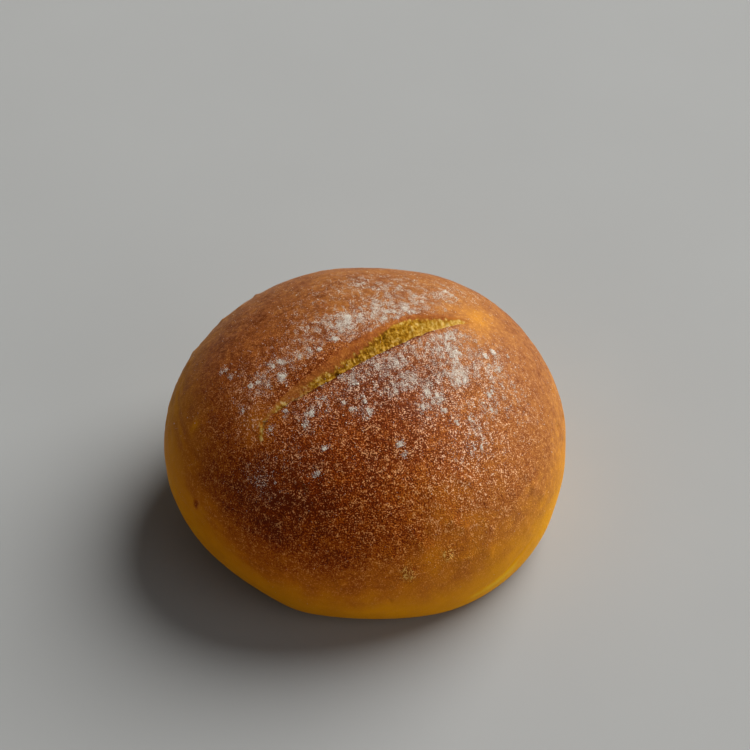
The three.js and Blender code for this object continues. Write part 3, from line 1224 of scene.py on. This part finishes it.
class Graph:
    """A shader graph that starts empty."""

    def __init__(self, tree: bpy.types.NodeTree) -> None:
        """Clears the tree that the graph is built in."""
        self.tree = tree
        self.tree.nodes.clear()

    def node(
        self,
        kind: str,
        settings: dict[str, Any],
        sockets: dict[str | int, Term],
        result: str | int = 0,
    ) -> Value:
        """Adds a node.

        Args:
            kind: Name of the node's type.
            settings: The node's own settings, set before its sockets. "stops" fills a ramp.
            sockets: Values or links by socket name or index.
            result: The output wanted.

        Returns:
            That output.
        """
        made = self.tree.nodes.new(kind)
        for name, value in settings.items():
            if name == "stops":
                self._fill_ramp(made.color_ramp, value)
            else:
                setattr(made, name, value)
        for name, value in sockets.items():
            socket = made.inputs[name]
            if isinstance(value, Value):
                self.tree.links.new(value.socket, socket)
            elif isinstance(value, tuple) and len(socket.default_value) > len(value):
                socket.default_value = (*value, 1.0)
            else:
                socket.default_value = value
        return Value(self, made.outputs[result])

    @staticmethod
    def _fill_ramp(ramp: bpy.types.ColorRamp, stops: Stops) -> None:
        """Gives a ramp its stops.

        Args:
            ramp: The ramp, with two stops or more.
            stops: Places and colours.
        """
        while len(ramp.elements) < len(stops):
            ramp.elements.new(1.0)
        for element, (place, colour) in zip(ramp.elements, stops):
            element.position = place
            element.color = (*colour, 1.0)

    def channel(self, channel: Channel) -> Value:
        """What the piece's mesh knows at each point."""
        return self.node("ShaderNodeAttribute", {"attribute_name": channel.value}, {}, "Fac")

    def place(self) -> Value:
        """Object coordinates."""
        return self.node("ShaderNodeTexCoord", {}, {}, "Object")

    def noise(self, place: Value, wave: float, detail: float, rough: float) -> Value:
        """Noise in space.

        Args:
            place: Where it is taken.
            wave: Its size in millimetres.
            detail: How many finer layers it has.
            rough: How strong those are.

        Returns:
            A value from about -0.5 to 0.5.
        """
        sizes = {"Scale": 1.0 / (wave * METRES), "Detail": detail, "Roughness": rough}
        settings = {"noise_dimensions": "3D"}
        noise = self.node("ShaderNodeTexNoise", settings, {"Vector": place, **sizes}, "Fac")
        return noise - NOISE_MIDDLE

    def ramp(self, share: Value, stops: Stops) -> Value:
        """Colour of a ramp at a share of its length."""
        return self.node("ShaderNodeValToRGB", {"stops": stops}, {"Fac": share}, "Color")

    def mix(self, share: Value | float, first: Term, second: Term) -> Value:
        """Colour that goes from first to second by the share."""
        sockets = {0: share, 6: first, 7: second}  # by index, because their names repeat
        return self.node("ShaderNodeMix", {"data_type": "RGBA"}, sockets, 2)

    def bump(self, height: Value, distance: float, strength: float) -> Value:
        """Normal of a surface whose fine relief is the height times a distance in millimetres."""
        sockets = {"Height": height, "Distance": distance * METRES, "Strength": strength}
        return self.node("ShaderNodeBump", {}, sockets, "Normal")

    def principled(self, sockets: dict[str, Term]) -> Value:
        """A surface with these socket values or links."""
        return self.node("ShaderNodeBsdfPrincipled", {}, sockets)

    def end(self, shader: Value, kind: str = "ShaderNodeOutputMaterial") -> None:
        """Ends the graph in an output of this kind."""
        self.tree.links.new(shader.socket, self.tree.nodes.new(kind).inputs["Surface"])


def new_material(name: str) -> tuple[bpy.types.Material, Graph]:
    """Makes a material.

    Args:
        name: The material's name.

    Returns:
        The material and its empty graph.
    """
    material = bpy.data.materials.new(name)
    material.use_nodes = True
    return material, Graph(material.node_tree)


@dataclass(frozen=True)
class Blend:
    """A weighted sum of fine noises, and the span over which it steps from 0 to 1."""

    weights: dict[Pattern, float]
    span: Pair = (0.0, 1.0)

    def summed(self, fine: Fine) -> Value:
        """The noises, each times its weight, in the order of the weights."""
        first, *others = (fine[pattern] * weight for pattern, weight in self.weights.items())
        return sum(others, first)

    def stepped(self, fine: Fine) -> Value:
        """The eased step of the sum."""
        return self.summed(fine).step(*self.span)


@dataclass(frozen=True)
class CrustFinish:
    """Baked crust from pumpkin yellow to dark brown, with torn crumb and the finest flour, and with
    painted glints, sheen and fine shade.
    """

    bake_stops: Stops = (
        (0.0, (0.78, 0.450, 0.020)), (0.1, (0.72, 0.252, 0.003)), (0.32, (0.55, 0.143, 0.004)),
        (0.55, (0.40, 0.086, 0.004)), (0.8, (0.25, 0.033, 0.001)), (1.0, (0.12, 0.014, 0.001)),
    )
    # the tan ramp: part golden-brown hue, part painted sheen of the window lamp on the side that
    # faces it
    tan_and_sheen_stops: Stops = (
        (0.0, (0.78, 0.450, 0.020)), (0.1, (0.70, 0.305, 0.006)), (0.32, (0.49, 0.203, 0.024)),
        (0.55, (0.35, 0.137, 0.030)), (0.8, (0.235, 0.078, 0.020)), (1.0, (0.13, 0.028, 0.002)),
    )
    crumb_stops: Stops = (
        (0.0, (0.14, 0.055, 0.003)), (0.35, (0.34, 0.155, 0.008)), (0.65, (0.50, 0.285, 0.038)),
        (1.0, (0.70, 0.485, 0.17)),
    )
    # painted highlight: pale glints of the window lamp on the crust's grain, drawn into its colour
    painted_glint_colour: Colour = (0.95, 0.45, 0.16)
    flake_colour: Colour = (0.92, 0.52, 0.11)
    # fine flour in the grain, which also paints part of the window lamp's sheen
    film_and_sheen_colour: Colour = (0.80, 0.62, 0.47)
    flour_colour: Colour = (0.71, 0.65, 0.58)
    # Noises in space: wave in millimetres, detail, roughness
    waves: tuple[tuple[Pattern, Triple], ...] = (
        (Pattern.MOTTLE, (2.6, 3.0, 0.5)), (Pattern.SPECK, (0.45, 3.0, 0.65)),
        (Pattern.GRAIN, (0.27, 1.0, 0.5)), (Pattern.FLECK, (0.9, 2.0, 0.5)),
        (Pattern.TEAR, (0.8, 3.0, 0.6)),
    )
    streak_wave: Triple = (0.55, 2.0, 0.6)
    streak_stretch: float = 0.3
    inside: Blend = Blend({Pattern.TEAR: 1.3, Pattern.STREAK: 0.6}, (0.2, 0.8))  # on the crumb
    cap_bake: Pair = (0.0, 0.3)
    browned_bake: Pair = (0.12, 0.65)
    gloss_bake: Pair = (0.3, 0.8)
    tone_mottle: Pair = (0.12, 0.18)  # on pale dough, and more on the browned crust
    tone_grain: Pair = (0.07, 2.1)  # darker in all, and by the grain: dark specks, partly painted shade of the fine relief
    tone_fleck: float = 0.6
    # where the painted glints fall, and how much of their colour they give
    painted_glints: Blend = Blend(
        {Pattern.GRAIN: 2.4, Pattern.FLECK: 1.4, Pattern.MOTTLE: 0.6}, (0.17, 0.64)
    )
    painted_glint_share: float = 0.62
    flakes: Blend = Blend({Pattern.GRAIN: 2.4, Pattern.FLECK: 2.4}, (0.0, 0.5))
    flake_grain: Pair = (0.9, 1.9)
    flake_share: float = 0.8
    film_dust: Pair = (0.0, 0.12)
    film_share: Pair = (0.01, 0.65)  # everywhere, and more on the painted glints
    fluff: Blend = Blend({Pattern.STREAK: 1.5, Pattern.TEAR: 3.0, Pattern.SPECK: 2.0})
    fluff_calm: float = 0.45  # how much less it shows by the right end
    crumb_light: float = 0.04  # everywhere
    lip_light: float = 0.29
    lip_span: Pair = (-5.2, -2.0)  # across
    # painted light: the crumb lighter towards the right end, where it lies higher in the lamp's
    # light
    end_painted_light: float = 0.45
    end_span: Pair = (-9.5, 11.0)  # along
    tail_light: float = 0.3
    tail_span: Pair = (-24.0, -14.0)
    broken: Blend = Blend({Pattern.GRAIN: 2.6, Pattern.FLECK: 1.8}, (0.30, 0.62))  # of the veil
    broken_least: float = 0.5  # share of it where no grain shows
    veil_dust: Pair = (1.1, 0.19)  # by the dust, and less in all
    veil_span: Pair = (0.02, 0.3)  # of the dust
    veil_share: float = 0.78
    roughness: float = 0.42
    crumb_rough: float = 0.4
    flour_rough: float = 0.4
    mottle_rough: float = 0.12
    bumps: Blend = Blend({Pattern.SPECK: 0.3, Pattern.MOTTLE: 0.5})
    grain_bump: float = 0.9
    bump_distance: float = 0.3
    bump_strength: float = 0.9
    matt_shine: float = 0.01
    satin_shine: float = 0.03

    def _fine(self, graph: Graph, known: Known) -> Fine:
        """The fine noises: those in space, and streaks that are stretched over the slash.

        Args:
            graph: The material's graph.
            known: The crust's channels.

        Returns:
            One value for each pattern.
        """
        place = graph.place()
        fine = {pattern: graph.noise(place, *wave) for pattern, wave in self.waves}
        ways = {"X": known[Channel.ALONG], "Y": known[Channel.ACROSS] * self.streak_stretch}
        flat = graph.node("ShaderNodeCombineXYZ", {}, ways)
        fine[Pattern.STREAK] = graph.noise(flat, *self.streak_wave)
        return fine

    def _crust(self, graph: Graph, known: Known, fine: Fine, skin: Value) -> Value:
        """Colour of the crust: its bake's tone on two ramps, with glints, flakes and a film.

        The glints are painted highlights of the window lamp on the grain. The tan ramp and the
        film also paint part of the lamp's sheen, and the grain's dark specks are partly painted
        shade of the fine relief.

        Args:
            graph: The material's graph.
            known: The crust's channels.
            fine: The fine noises.
            skin: 1 where no crumb shows.

        Returns:
            The colour.
        """
        bake, crisp = known[Channel.BAKE], known[Channel.GRAIN]
        browned = bake.step(*self.browned_bake) * skin
        pale, more = self.tone_mottle
        darker, deep = self.tone_grain
        # dark specks of grain and flecks: partly the crust's own speckle, partly painted shade of
        # its fine relief
        grain = crisp.held() * (darker - fine[Pattern.GRAIN] * deep)
        tone = bake + fine[Pattern.MOTTLE] * (pale + browned * more)
        tone = (tone + browned * (grain - fine[Pattern.FLECK] * self.tone_fleck)).held()
        # red crust, and tan crust that also paints the lamp's sheen
        tan_and_sheen, red = graph.ramp(tone, self.tan_and_sheen_stops), graph.ramp(tone, self.bake_stops)
        colour = graph.mix(known[Channel.RUDDY], tan_and_sheen, red)
        # painted highlight: glints of the window lamp, strongest where the grain shows
        painted_glint = self.painted_glints.stepped(fine) * crisp
        cap = bake.step(*self.cap_bake) * skin
        colour = graph.mix(painted_glint * cap * self.painted_glint_share, colour, self.painted_glint_colour)
        flaked = crisp.step(*self.flake_grain) * self.flakes.stepped(fine)
        colour = graph.mix(flaked * self.flake_share, colour, self.flake_colour)
        # a film of finest flour that also paints part of the lamp's sheen, brighter on the painted
        # glints
        least, more = self.film_share
        film_and_sheen = known[Channel.DUST].step(*self.film_dust) * skin
        return graph.mix(film_and_sheen * (least + painted_glint.held() * more), colour, self.film_and_sheen_colour)

    def _torn(self, graph: Graph, known: Known, fine: Fine) -> Value:
        """Colour of the torn crumb: fluff on a ramp, lighter by the near lip and at the tail, and
        lighter to the right end as painted light.

        Args:
            graph: The material's graph.
            known: The crust's channels.
            fine: The fine noises.

        Returns:
            The colour.
        """
        along, across = known[Channel.ALONG], known[Channel.ACROSS]
        by_lip = 1.0 - across.step(*metres(self.lip_span))
        by_end = along.step(*metres(self.end_span))
        by_tail = 1.0 - along.step(*metres(self.tail_span))
        light = self.fluff.summed(fine) * (1.0 - by_end * self.fluff_calm)
        # the right end is made lighter as painted light
        light = light + by_lip * self.lip_light + by_end * self.end_painted_light
        light = light + by_tail * self.tail_light + self.crumb_light
        return graph.ramp(light.held(), self.crumb_stops)

    def _veil(self, known: Known, fine: Fine) -> Value:
        """Share of the finest flour in the colour: the dust, broken up by grain and flecks.

        Args:
            known: The crust's channels.
            fine: The fine noises.

        Returns:
            0 bare to the greatest share.
        """
        dust, crisp = known[Channel.DUST], known[Channel.GRAIN].held()
        least = self.broken_least
        broken = self.broken.summed(fine) * (least + crisp * (1.0 - least))
        by_dust, less = self.veil_dust
        veil = (dust * by_dust + broken - less).step(*self.broken.span)
        return veil * dust.step(*self.veil_span) * self.veil_share

    def make(self) -> bpy.types.Material:
        """Builds the material: matt for pale dough and crumb, mixed with satin for browned crust.

        Returns:
            The finished material.
        """
        material, graph = new_material("baked_crust")
        known = {channel: graph.channel(channel) for channel in Channel}
        fine = self._fine(graph, known)
        bake = known[Channel.BAKE]
        inside = (known[Channel.CRUMB] + self.inside.summed(fine)).step(*self.inside.span)
        skin = 1.0 - inside
        crust = self._crust(graph, known, fine, skin)
        bare = graph.mix(inside, crust, self._torn(graph, known, fine))
        veil = self._veil(known, fine)
        rough = self.roughness + inside * self.crumb_rough + veil * self.flour_rough
        rough = rough + fine[Pattern.MOTTLE] * self.mottle_rough
        cap = bake.step(*self.cap_bake) * skin
        grain = fine[Pattern.GRAIN] * cap * known[Channel.GRAIN]
        relief = self.bumps.summed(fine) + grain * self.grain_bump
        shared = {
            "Base Color": graph.mix(veil, bare, self.flour_colour),
            "Roughness": rough.held(),
            "Normal": graph.bump(relief, self.bump_distance, self.bump_strength),
        }
        matt = graph.principled({**shared, "Specular IOR Level": self.matt_shine})
        satin = graph.principled({**shared, "Specular IOR Level": self.satin_shine})
        gloss = bake.step(*self.gloss_bake) * skin
        graph.end(graph.node("ShaderNodeMixShader", {}, {0: gloss, 1: matt, 2: satin}))
        return material


@dataclass(frozen=True)
class MottledFinish:
    """A matt finish that wavers between two colours."""

    name: str
    dark: Colour
    light: Colour
    wave: float  # millimetres
    detail: float
    roughness: float
    shine: float = 0.5

    def make(self) -> bpy.types.Material:
        """Builds the material, its colour between the two by a noise in space.

        Returns:
            The finished material.
        """
        material, graph = new_material(self.name)
        share = graph.noise(graph.place(), self.wave, self.detail, EVEN_ROUGHNESS) + NOISE_MIDDLE
        colour = graph.mix(share.held(), self.dark, self.light)
        sockets = {"Base Color": colour, "Roughness": self.roughness}
        graph.end(graph.principled({**sockets, "Specular IOR Level": self.shine}))
        return material


FLOUR_FINISH = MottledFinish(
    "loose_flour", (0.64, 0.57, 0.48), (0.82, 0.75, 0.66),
    wave=0.6, detail=2.0, roughness=0.95, shine=0.1,
)
FLOOR_FINISH = MottledFinish(
    "pale_floor", (0.295, 0.298, 0.294), (0.315, 0.32, 0.316),
    wave=45.0, detail=4.0, roughness=0.9,
)


@dataclass
class Bun:
    """The bun: crust, slash and foot in one closed piece."""

    body: BunBody = field(default_factory=BunBody)
    slash: Slash = field(default_factory=Slash)
    net: CrustNet = field(default_factory=CrustNet)
    relief: Relief = field(default_factory=Relief)
    crumb: Crumb = field(default_factory=Crumb)
    bake: Bake = field(default_factory=Bake)
    dusting: Dusting = field(default_factory=Dusting)
    # where the crust's fine grain, with its painted glints and painted fine shade, shows most
    grain: Field = Field((-16.0, -23.5), (40.0, 27.0), 0.12)
    grain_in_slash: float = 0.35  # share of the grain that the slash keeps
    # where the crust browns to red; away from it, toward the lit side, the tan ramp partly paints
    # the lamp's sheen
    ruddy: Field = Field((-38.0, -20.0), (63.0, 38.0), 0.0)
    ruddy_in_slash: float = 0.4
    # Places where the crust flaked: along, across, spread, strength
    flakes: tuple[Four, ...] = (
        (-15.5, -50.0, 2.2, 1.7), (-4.5, -49.2, 1.7, 1.6), (0.9, -51.6, 1.2, 0.8),
    )
    foot_rings: Triple = (0.93, 0.75, 0.4)  # of the foot's faces, as shares of its rim
    foot_bake: float = 0.62
    map_height: float = 0.88  # share of the map that the crust takes; the foot has the rest
    map_margin: float = 0.9  # share of that rest which the foot fills

    def shape(self) -> CrustGrid:
        """Works out the crust.

        A knot lies on the unslashed surface, moved outwards by the slash's section, the relief and
        the crumb, and pushed across under the near lip. Knots of the rim stay on the foot's edge.

        Returns:
            The crust's knots with their channels.
        """
        at = self.net.places(self.body, self.slash)
        inside = self.slash.inside(at)
        cut = self.slash.cut(inside)
        torn = self.slash.torn(at, inside)
        height, push = self.slash.section(inside)
        height += self.relief.height(at, 1.0 - cut) + self.crumb.height(at) * torn
        out, back = self.body.frame(at.along, at.across)
        points = at.points + out * height[..., None] + back * push[..., None]
        inner = np.zeros(cut.shape, bool)
        inner[1:-1, 1:-1] = True
        points = np.where(inner[..., None], points, at.points)
        points[..., 2] = np.where(inner, np.maximum(points[..., 2], 0.0), 0.0)
        crust = 1.0 - cut * smoothstep(at.along, *self.slash.skin_span)
        flour, thick, dust = self.dusting.settled(at, crust, torn)
        grain = self.grain.strength(at) + bells(at, self.flakes)
        channels = {
            Channel.BAKE: self.bake.level(at, self.relief, inside, cut),
            Channel.CRUMB: torn,
            Channel.DUST: dust,
            Channel.GRAIN: grain * lerp(1.0, self.grain_in_slash, cut),
            Channel.RUDDY: lerp(self.ruddy.strength(at), self.ruddy_in_slash, cut),
            Channel.ALONG: at.along * METRES,
            Channel.ACROSS: at.across * METRES,
        }
        return CrustGrid(points, channels, flour, thick)

    def build(self, grid: CrustGrid) -> bpy.types.Object:
        """Makes the mesh: the crust's net, closed below by rings from its rim to the foot's middle.

        Args:
            grid: The crust's knots.

        Returns:
            The bun's object.
        """
        rim = self.net.rim()
        points = grid.points.reshape(-1, 3)
        middle = points[rim].mean(0)
        rings = [middle + (points[rim] - middle) * share for share in self.foot_rings]
        knots, count = len(points), len(rim)
        numbers = [rim, *(knots + count * step + np.arange(count) for step in range(len(rings)))]
        faces = [self.net.faces()]
        for outer, inner in zip(numbers, numbers[1:]):
            faces.append(np.stack([outer, inner, np.roll(inner, -1), np.roll(outer, -1)], -1))
        last = numbers[-1]
        centre = np.full(count, knots + count * len(rings))
        faces.append(np.stack([last, centre, np.roll(last, -1)], -1))
        points = np.concatenate([points, *rings, middle[None]])
        channels = {
            channel: np.concatenate([values.ravel(), self._foot(channel, len(points) - knots)])
            for channel, values in grid.channels.items()
        }
        corner_map = self._corner_map(points, middle, faces)
        return make_object("bun_crust", points, faces, CrustFinish().make(), channels, corner_map)

    def _foot(self, channel: Channel, count: int) -> Floats:
        """What the foot's points know in a channel: how far they are baked, and nothing else."""
        return np.full(count, self.foot_bake if channel is Channel.BAKE else 0.0)

    def _corner_map(self, points: Floats, middle: Floats, faces: list[Whole]) -> Floats:
        """Places of face corners on the piece's map: the net, and the foot as a disc above it.

        Args:
            points: Places of all vertices.
            middle: The foot's middle.
            faces: The crust's faces, then the foot's.

        Returns:
            Two numbers for each corner of each face.
        """
        column, row = self.net.square()
        crust = np.stack([(column + 1) / 2, (row + 1) / 2 * self.map_height], -1).reshape(-1, 2)
        room = (1.0 - self.map_height) / 2
        flat = (points - middle)[:, :2]
        foot = flat / np.abs(flat).max() * room * self.map_margin + (0.5, 1.0 - room)
        corners = [crust[faces[0].ravel()]] + [foot[group.ravel()] for group in faces[1:]]
        return np.concatenate(corners)


@dataclass(frozen=True)
class FlourKind:
    """One kind of flour bit: a small solid strewn over the crust, in millimetres."""

    name: str
    count: int
    size: float  # mean width
    spread: float  # of the sizes, as the width of a log-normal law
    flatness: float  # thickness to width
    power: float  # of the covered share, by which the bits gather
    least: float  # share of them that fall anywhere on the dusted crown
    facets: int  # of each bit: 4, 8 or 20
    seed: int
    smooth_share: float = 0.9  # of the bits that fall where the crust has no grain
    level_span: Pair = (4.0, 12.0)  # above the foot, over which the dusting comes in
    corner_draw: Pair = (0.65, 1.3)  # how far corners are drawn in or out
    narrow_draw: Pair = (0.55, 1.0)
    rise: float = 0.45  # of a bit's middle over the crust, to its thickness

    def template(self) -> tuple[Floats, Whole]:
        """One bit: a tetrahedron, an octahedron or an icosahedron of radius 1.

        Returns:
            Its corners and its faces.
        """
        if self.facets == 4:
            corners = np.array([(1, 1, 1), (-1, -1, 1), (-1, 1, -1), (1, -1, -1)]) / math.sqrt(3)
            return corners, np.array([(0, 2, 1), (0, 3, 2), (0, 1, 3), (1, 2, 3)])
        if self.facets == 8:
            corners = np.stack([np.eye(3), -np.eye(3)], 1).reshape(-1, 3)
            upper = [(0, 2, 4), (2, 1, 4), (1, 3, 4), (3, 0, 4)]
            lower = [(2, 0, 5), (1, 2, 5), (3, 1, 5), (0, 3, 5)]
            return corners, np.array(upper + lower)
        here = np.arange(5)
        turn = here * 2 * np.pi / 5
        level = 1 / math.sqrt(5)
        ring = [np.cos(turn) * 2 * level, np.sin(turn) * 2 * level, np.full(5, level)]
        upper = np.stack(ring, -1)
        corners = np.concatenate([[(0, 0, 1)], upper, -upper, [(0, 0, -1)]])
        first, after = 1 + here, 1 + (here + 1) % 5
        low, low_after = 6 + (here + 3) % 5, 6 + (here + 4) % 5
        top, bottom = np.zeros(5, int), np.full(5, 11)
        sides = [(top, first, after), (first, low, after), (low, low_after, after)]
        sides.append((bottom, low_after, low))
        return corners, np.concatenate([np.stack(side, -1) for side in sides])

    def build(self, grid: CrustGrid, material: bpy.types.Material) -> bpy.types.Object:
        """Strews the bits and joins them into one piece.

        A face of the crust is drawn by its area times the flour on it, and a place in it evenly.
        The bit stands there on the face, turned at random, each corner drawn in or out at random.

        Args:
            grid: The crust.
            material: The bits' finish.

        Returns:
            The piece.
        """
        draw = np.random.default_rng(self.seed)
        count, knots = self.count, grid.points
        wanted = grid.flour**self.power + self.least * grid.thick
        wanted *= lerp(self.smooth_share, 1.0, grid.channels[Channel.GRAIN])
        wanted *= smoothstep(knots[..., 2], *self.level_span)
        quarters = [
            (rows, columns)
            for rows in (slice(None, -1), slice(1, None))
            for columns in (slice(None, -1), slice(1, None))
        ]
        corners = [knots[quarter] for quarter in quarters]
        normal = np.cross(corners[3] - corners[0], corners[2] - corners[1])
        wanted = sum(wanted[quarter] for quarter in quarters) / 4 * np.linalg.norm(normal, axis=-1)
        chosen = draw.choice(wanted.size, count, p=(wanted / wanted.sum()).ravel())
        across_face, along_face = draw.random((2, count, 1))
        a, b, c, d = (corner.reshape(-1, 3)[chosen] for corner in corners)
        place = lerp(lerp(a, b, across_face), lerp(c, d, across_face), along_face)
        up = unit(normal.reshape(-1, 3)[chosen])
        side = unit(np.cross(up, draw.normal(size=(count, 3))))
        front = np.cross(up, side)
        bit, faces = self.template()
        width = self.size / 2 * np.exp(draw.normal(0.0, self.spread, (count, 1, 1)))
        shaped = bit * draw.uniform(*self.corner_draw, (count, len(bit), 1)) * width
        narrow = draw.uniform(*self.narrow_draw, count)
        shaped *= np.stack([np.ones(count), narrow, np.full(count, self.flatness)], -1)[:, None]
        axes = np.stack([side, front, up], 1)
        raised = place + up * width[:, 0] * self.flatness * self.rise
        points = (raised[:, None] + shaped @ axes).reshape(-1, 3)
        all_faces = (faces + len(bit) * np.arange(count)[:, None, None]).reshape(-1, 3)
        return make_object(self.name, points, [all_faces], material)


@dataclass(frozen=True)
class Lamp:
    """A soft round light, by azimuth from +X and elevation in degrees, and distance in metres."""

    name: str
    azimuth: float
    elevation: float
    distance: float
    width: float
    power: float
    colour: Colour

    def build(self, target: Vector) -> None:
        """Adds the light, facing the target.

        Args:
            target: The point that it faces.
        """
        turn, lift = math.radians(self.azimuth), math.radians(self.elevation)
        flat = math.cos(lift)
        way = Vector((math.cos(turn) * flat, math.sin(turn) * flat, math.sin(lift)))
        data = bpy.data.lights.new(self.name, "AREA")
        data.shape = "DISK"
        data.size = self.width
        data.energy = self.power
        data.color = self.colour
        lamp = bpy.data.objects.new(self.name, data)
        lamp.location = target + way * self.distance
        lamp.rotation_euler = way.to_track_quat("Z", "Y").to_euler()
        bpy.context.scene.collection.objects.link(lamp)


@dataclass
class Studio:
    """The floor, the lights and the camera."""

    floor_radius: float = 3500.0
    floor_rings: Triple = (0.08, 0.3, 1.0)  # as shares of the radius
    floor_sides: int = 96
    floor_sink: float = 0.05  # below the foot
    target: Vector = field(default_factory=lambda: Vector((0.0, 0.0, 0.02)))
    lamps: tuple[Lamp, ...] = (
        Lamp("window", 38.0, 40.0, distance=4.0, width=4.0, power=326.0, colour=(1.0, 0.99, 0.97)),
        Lamp("bounce", -30.0, 16.0, distance=4.0, width=4.0, power=58.0, colour=(1.0, 0.98, 0.95)),
    )
    horizon_colour: Colour = (0.5335, 0.5418, 0.55)
    zenith_colour: Colour = (0.0776, 0.0788, 0.08)
    horizon_height: float = 0.35  # sine of the elevation that the horizon's brightness reaches
    camera_place: Triple = (2.04, -328.40, 368.05)  # millimetres
    camera_pitch: float = math.radians(44.71)
    camera_near: float = 0.01  # metres, from which on things show
    focal_share: float = 2412.0 / 750.0  # focal length to the picture's width
    sensor: float = 36.0

    def floor(self) -> bpy.types.Object:
        """Makes the floor: a disc as rings round its middle.

        Returns:
            The floor's object.
        """
        count = self.floor_sides
        turn = np.linspace(0, 2 * np.pi, count + 1)[:-1]
        radii = np.array(self.floor_rings) * self.floor_radius
        ring = np.stack([np.cos(turn), np.sin(turn)], -1)
        flat = np.concatenate([[(0.0, 0.0)], (radii[:, None, None] * ring).reshape(-1, 2)])
        points = np.concatenate([flat, np.full((len(flat), 1), -self.floor_sink)], -1)
        here = 1 + np.arange(count)
        after = np.roll(here, -1)
        faces = [np.stack([np.zeros(count, int), here, after], -1)]
        for step in range(len(radii) - 1):
            inner, outer = step * count, (step + 1) * count
            corners = [inner + here, outer + here, outer + after, inner + after]
            faces.append(np.stack(corners, -1))
        return make_object("floor", points, faces, FLOOR_FINISH.make())

    def light(self) -> None:
        """Adds the lamps and the even light all round."""
        for lamp in self.lamps:
            lamp.build(self.target)
        world = bpy.data.worlds.new("soft_room")
        world.use_nodes = True
        graph = Graph(world.node_tree)
        way = graph.node("ShaderNodeTexCoord", {}, {}, "Generated")
        rise = graph.node("ShaderNodeSeparateXYZ", {}, {"Vector": way}, "Z")
        share = rise.step(0.0, self.horizon_height)
        colour = graph.mix(share, self.horizon_colour, self.zenith_colour)
        sky = graph.node("ShaderNodeBackground", {}, {"Color": colour})
        graph.end(sky, "ShaderNodeOutputWorld")
        bpy.context.scene.world = world
        bpy.context.scene.view_settings.view_transform = "Standard"

    def camera(self) -> None:
        """Adds the camera and makes it the scene's."""
        data = bpy.data.cameras.new("camera")
        data.sensor_width = self.sensor
        data.lens = self.sensor * self.focal_share
        data.clip_start = self.camera_near
        camera = bpy.data.objects.new("camera", data)
        camera.location = Vector(self.camera_place) * METRES
        camera.rotation_euler = (self.camera_pitch, 0.0, 0.0)
        bpy.context.scene.collection.objects.link(camera)
        bpy.context.scene.camera = camera


FLOUR_KINDS = (
    FlourKind(
        "flour_clumps", count=6400, size=0.17, spread=0.3, flatness=0.42,
        power=1.2, least=0.002, facets=20, seed=31,
    ),
    FlourKind(
        "flour_grains", count=22000, size=0.115, spread=0.3, flatness=0.6,
        power=1.0, least=0.01, facets=8, seed=32,
    ),
    FlourKind(
        "flour_dust", count=36000, size=0.085, spread=0.25, flatness=0.7,
        power=0.8, least=0.03, facets=4, seed=33,
    ),
)


def report(piece: bpy.types.Object) -> None:
    """Logs a piece's name and its size in faces."""
    mesh = piece.data
    log.info("%s: %d vertices, %d faces", piece.name, len(mesh.vertices), len(mesh.polygons))


def main() -> None:
    """Builds the bun, its flour and the studio, and notes the sizes."""
    logging.basicConfig(level=logging.INFO, format="%(name)s: %(message)s")
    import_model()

    bun = Bun()
    grid = bun.shape()
    crust = bun.build(grid)
    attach(crust, "root")
    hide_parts("bun")
    report(crust)

    flour = FLOUR_FINISH.make()
    for kind in FLOUR_KINDS:
        piece = kind.build(grid, flour)
        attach(piece, "root")
        report(piece)

    studio = Studio()
    floor = studio.floor()
    report(floor)
    studio.light()
    studio.camera()


if __name__ == "__main__":
    main()
